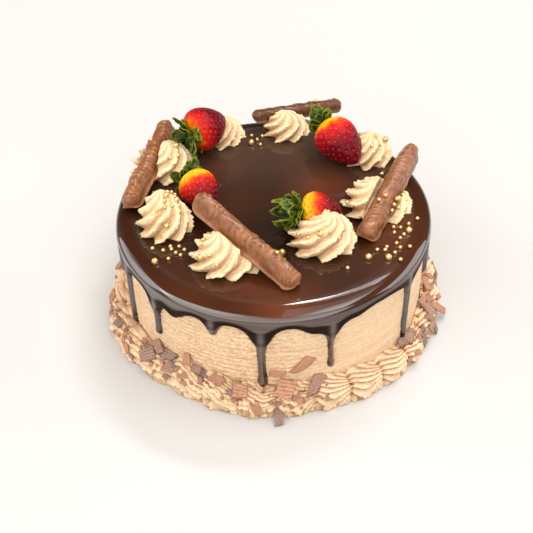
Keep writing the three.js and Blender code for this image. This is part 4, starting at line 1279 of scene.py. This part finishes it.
def pearl_places():
    """Centre and radius of every pearl: clusters on the glaze that wind out by the golden angle, scattered
    ones on the swirls, and a few on the fingers."""
    places = []
    for x, y, spread, count in PEARLS_ON_GLAZE:
        for i in range(count):
            radius = spread * math.sqrt((i + 0.5) / count)
            px = x + radius * math.cos(i * GOLDEN_ANGLE + x)
            py = y + radius * math.sin(i * GOLDEN_ANGLE + x)
            if clear_of_toppings(px, py, pearl_radius(i) + 0.3):
                places.append(((px, py, GLAZE_TOP + pearl_radius(i) * PEARL_RISE), pearl_radius(i)))
    for which, first, last, low, high, count in PEARLS_ON_SWIRLS:
        for i in range(count):
            t = low + (high - low) * float(draw(i + first))
            direction = math.radians(first + (last - first) * (i + 0.5) / count)
            swirl = SWIRLS[which]
            spot = swirl_point(swirl, np.float64(t), np.float64(direction - swirl[7] - SWIRL_TWIST * t))
            outward = unit(spot - (swirl[0], swirl[1], GLAZE_TOP))
            places.append((tuple(spot + outward * pearl_radius(i) * SWIRL_PEARL_RISE), pearl_radius(i)))
    for which, share, across in PEARLS_ON_FINGERS:
        start, length, along, up, side = finger_frame(FINGERS[which])
        lift = FINGERS[which][3] / 2 + PEARL_SMALL * PEARL_RISE - abs(across) * 0.12
        places.append((tuple(start + along * length * share + up * lift + side * across), PEARL_SMALL))
    return apart(places)


def apart(places):
    """The places without those that would overlap an earlier one."""
    kept = []
    for centre, radius in places:
        if all(math.dist(centre, other) > radius + reach for other, reach in kept):
            kept.append((centre, radius))
    return kept


def ball(centre, radius):
    """Points and faces of a ball: rings at even latitudes, with the end rings' centres moved to the poles."""
    latitude = np.linspace(-0.5, 0.5, PEARL_ROWS + 2)[1:-1, None] * np.pi
    spots = on_circle(radius * np.cos(latitude), round_angles(PEARL_COLUMNS), radius * np.sin(latitude))
    rings = np.array(centre) + spots
    points, faces = capped_skin(rings)
    points[-2:, 2] = centre[2] - radius, centre[2] + radius
    return points, faces


def make_pearls():
    """All the sugar pearls as one piece."""
    return make("sugar_pearls", *joined([ball(centre, radius) for centre, radius in pearl_places()]))


def make_floor():
    """The floor: one large square round the origin."""
    half = FLOOR_SIDE / 2
    corners = [(-half, -half, 0), (half, -half, 0), (half, half, 0), (-half, half, 0)]
    floor = make("floor", np.array(corners), [np.array([[0, 1, 2, 3]])])
    floor.data.materials.append(floor_finish())


def make_camera():
    """The camera where the photograph was taken from, turned by its yaw, pitch and roll."""
    pitch, roll, yaw = (math.radians(a) for a in (CAMERA_PITCH, CAMERA_ROLL, CAMERA_YAW))
    forward = np.array([math.sin(yaw) * math.cos(pitch), math.cos(yaw) * math.cos(pitch), -math.sin(pitch)])
    right = np.array([math.cos(yaw), -math.sin(yaw), 0])
    up = np.cross(right, forward)
    turned_right = right * math.cos(roll) + up * math.sin(roll)
    turned_up = -right * math.sin(roll) + up * math.cos(roll)
    matrix = np.eye(4)
    matrix[:3, :3] = np.stack([turned_right, turned_up, -forward], -1)
    matrix[:3, 3] = np.array(CAMERA_PLACE) * MM
    camera = new_object("camera", bpy.data.cameras.new("camera"))
    camera.data.lens = CAMERA_LENS
    camera.data.clip_start = 0.01
    camera.matrix_world = Matrix(matrix)
    bpy.context.scene.camera = camera


def make_softbox(name, place, width, depth, power, color):
    """A rectangular softbox at a place in metres that faces the middle of the cake."""
    light = bpy.data.lights.new(name, "AREA")
    light.shape = "RECTANGLE"
    light.size = width
    light.size_y = depth
    light.energy = power
    light.color = color
    box = new_object(name, light)
    box.location = place
    aim = Vector(LIGHT_AIM) - box.location
    box.rotation_euler = aim.to_track_quat("-Z", "Y").to_euler()


def make_lights():
    """The softboxes, and warm light from all round."""
    for softbox in SOFTBOXES:
        make_softbox(*softbox)
    world = bpy.data.worlds.new("studio")
    world.use_nodes = True
    background = world.node_tree.nodes["Background"]
    background.inputs["Color"].default_value = AIR_COLOR
    background.inputs["Strength"].default_value = AIR_STRENGTH
    bpy.context.scene.world = world
    bpy.context.scene.view_settings.view_transform = "Standard"


def dress(piece, material, slot, *nodes):
    """Gives a piece its material, the body it rides on and the nodes that it stands for. The slot is not
    used.
    """
    piece.data.materials.append(material)
    if nodes:
        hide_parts(*nodes)
    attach(piece, "root")


def make_cake():
    """Every piece of the cake with its material, from the side up to the pearls."""
    # Each cream's second colour is its painted shade, deepest for the border and the swirls
    side_cream = cream("side_cream", (0.91, 0.7, 0.46), (0.64, 0.395, 0.22))
    border_cream = cream("border_cream", (0.89, 0.665, 0.425), (0.38, 0.165, 0.07))
    swirl_cream = cream("swirl_cream", (0.88, 0.68, 0.41), (0.42, 0.19, 0.07), 0.03)
    dress(make_side(), side_cream, "side_cream", "cake")
    dress(make_glaze(), glaze_finish(), "glaze", "glaze")
    dress(make_border(), border_cream, "border_cream", "border")
    for number in range(len(SWIRLS)):
        dress(make_swirl(number), swirl_cream, "swirl_cream", f"swirl_{number + 1}")
    chocolate = milk_chocolate()
    for number in range(len(FINGERS)):
        dress(make_finger(number), chocolate, "milk_chocolate", f"finger_{number + 1}")
    skin, seed, leaf = berry_skin(), seed_finish(), leaf_finish()
    for number in range(len(BERRIES)):
        dress(make_berry(number), skin, "strawberry", f"strawberry_{number + 1}")
        dress(make_seeds(number), seed, "strawberry")
        dress(make_calyx(number), leaf, "leaf", f"calyx_{number + 1}")
    dress(make_flakes(), flake_finish(), "flake", "border", "cake")
    dress(make_pearls(), pearl_finish(), "gold_pearl", "glaze")


make_camera()
make_lights()
make_floor()
make_cake()
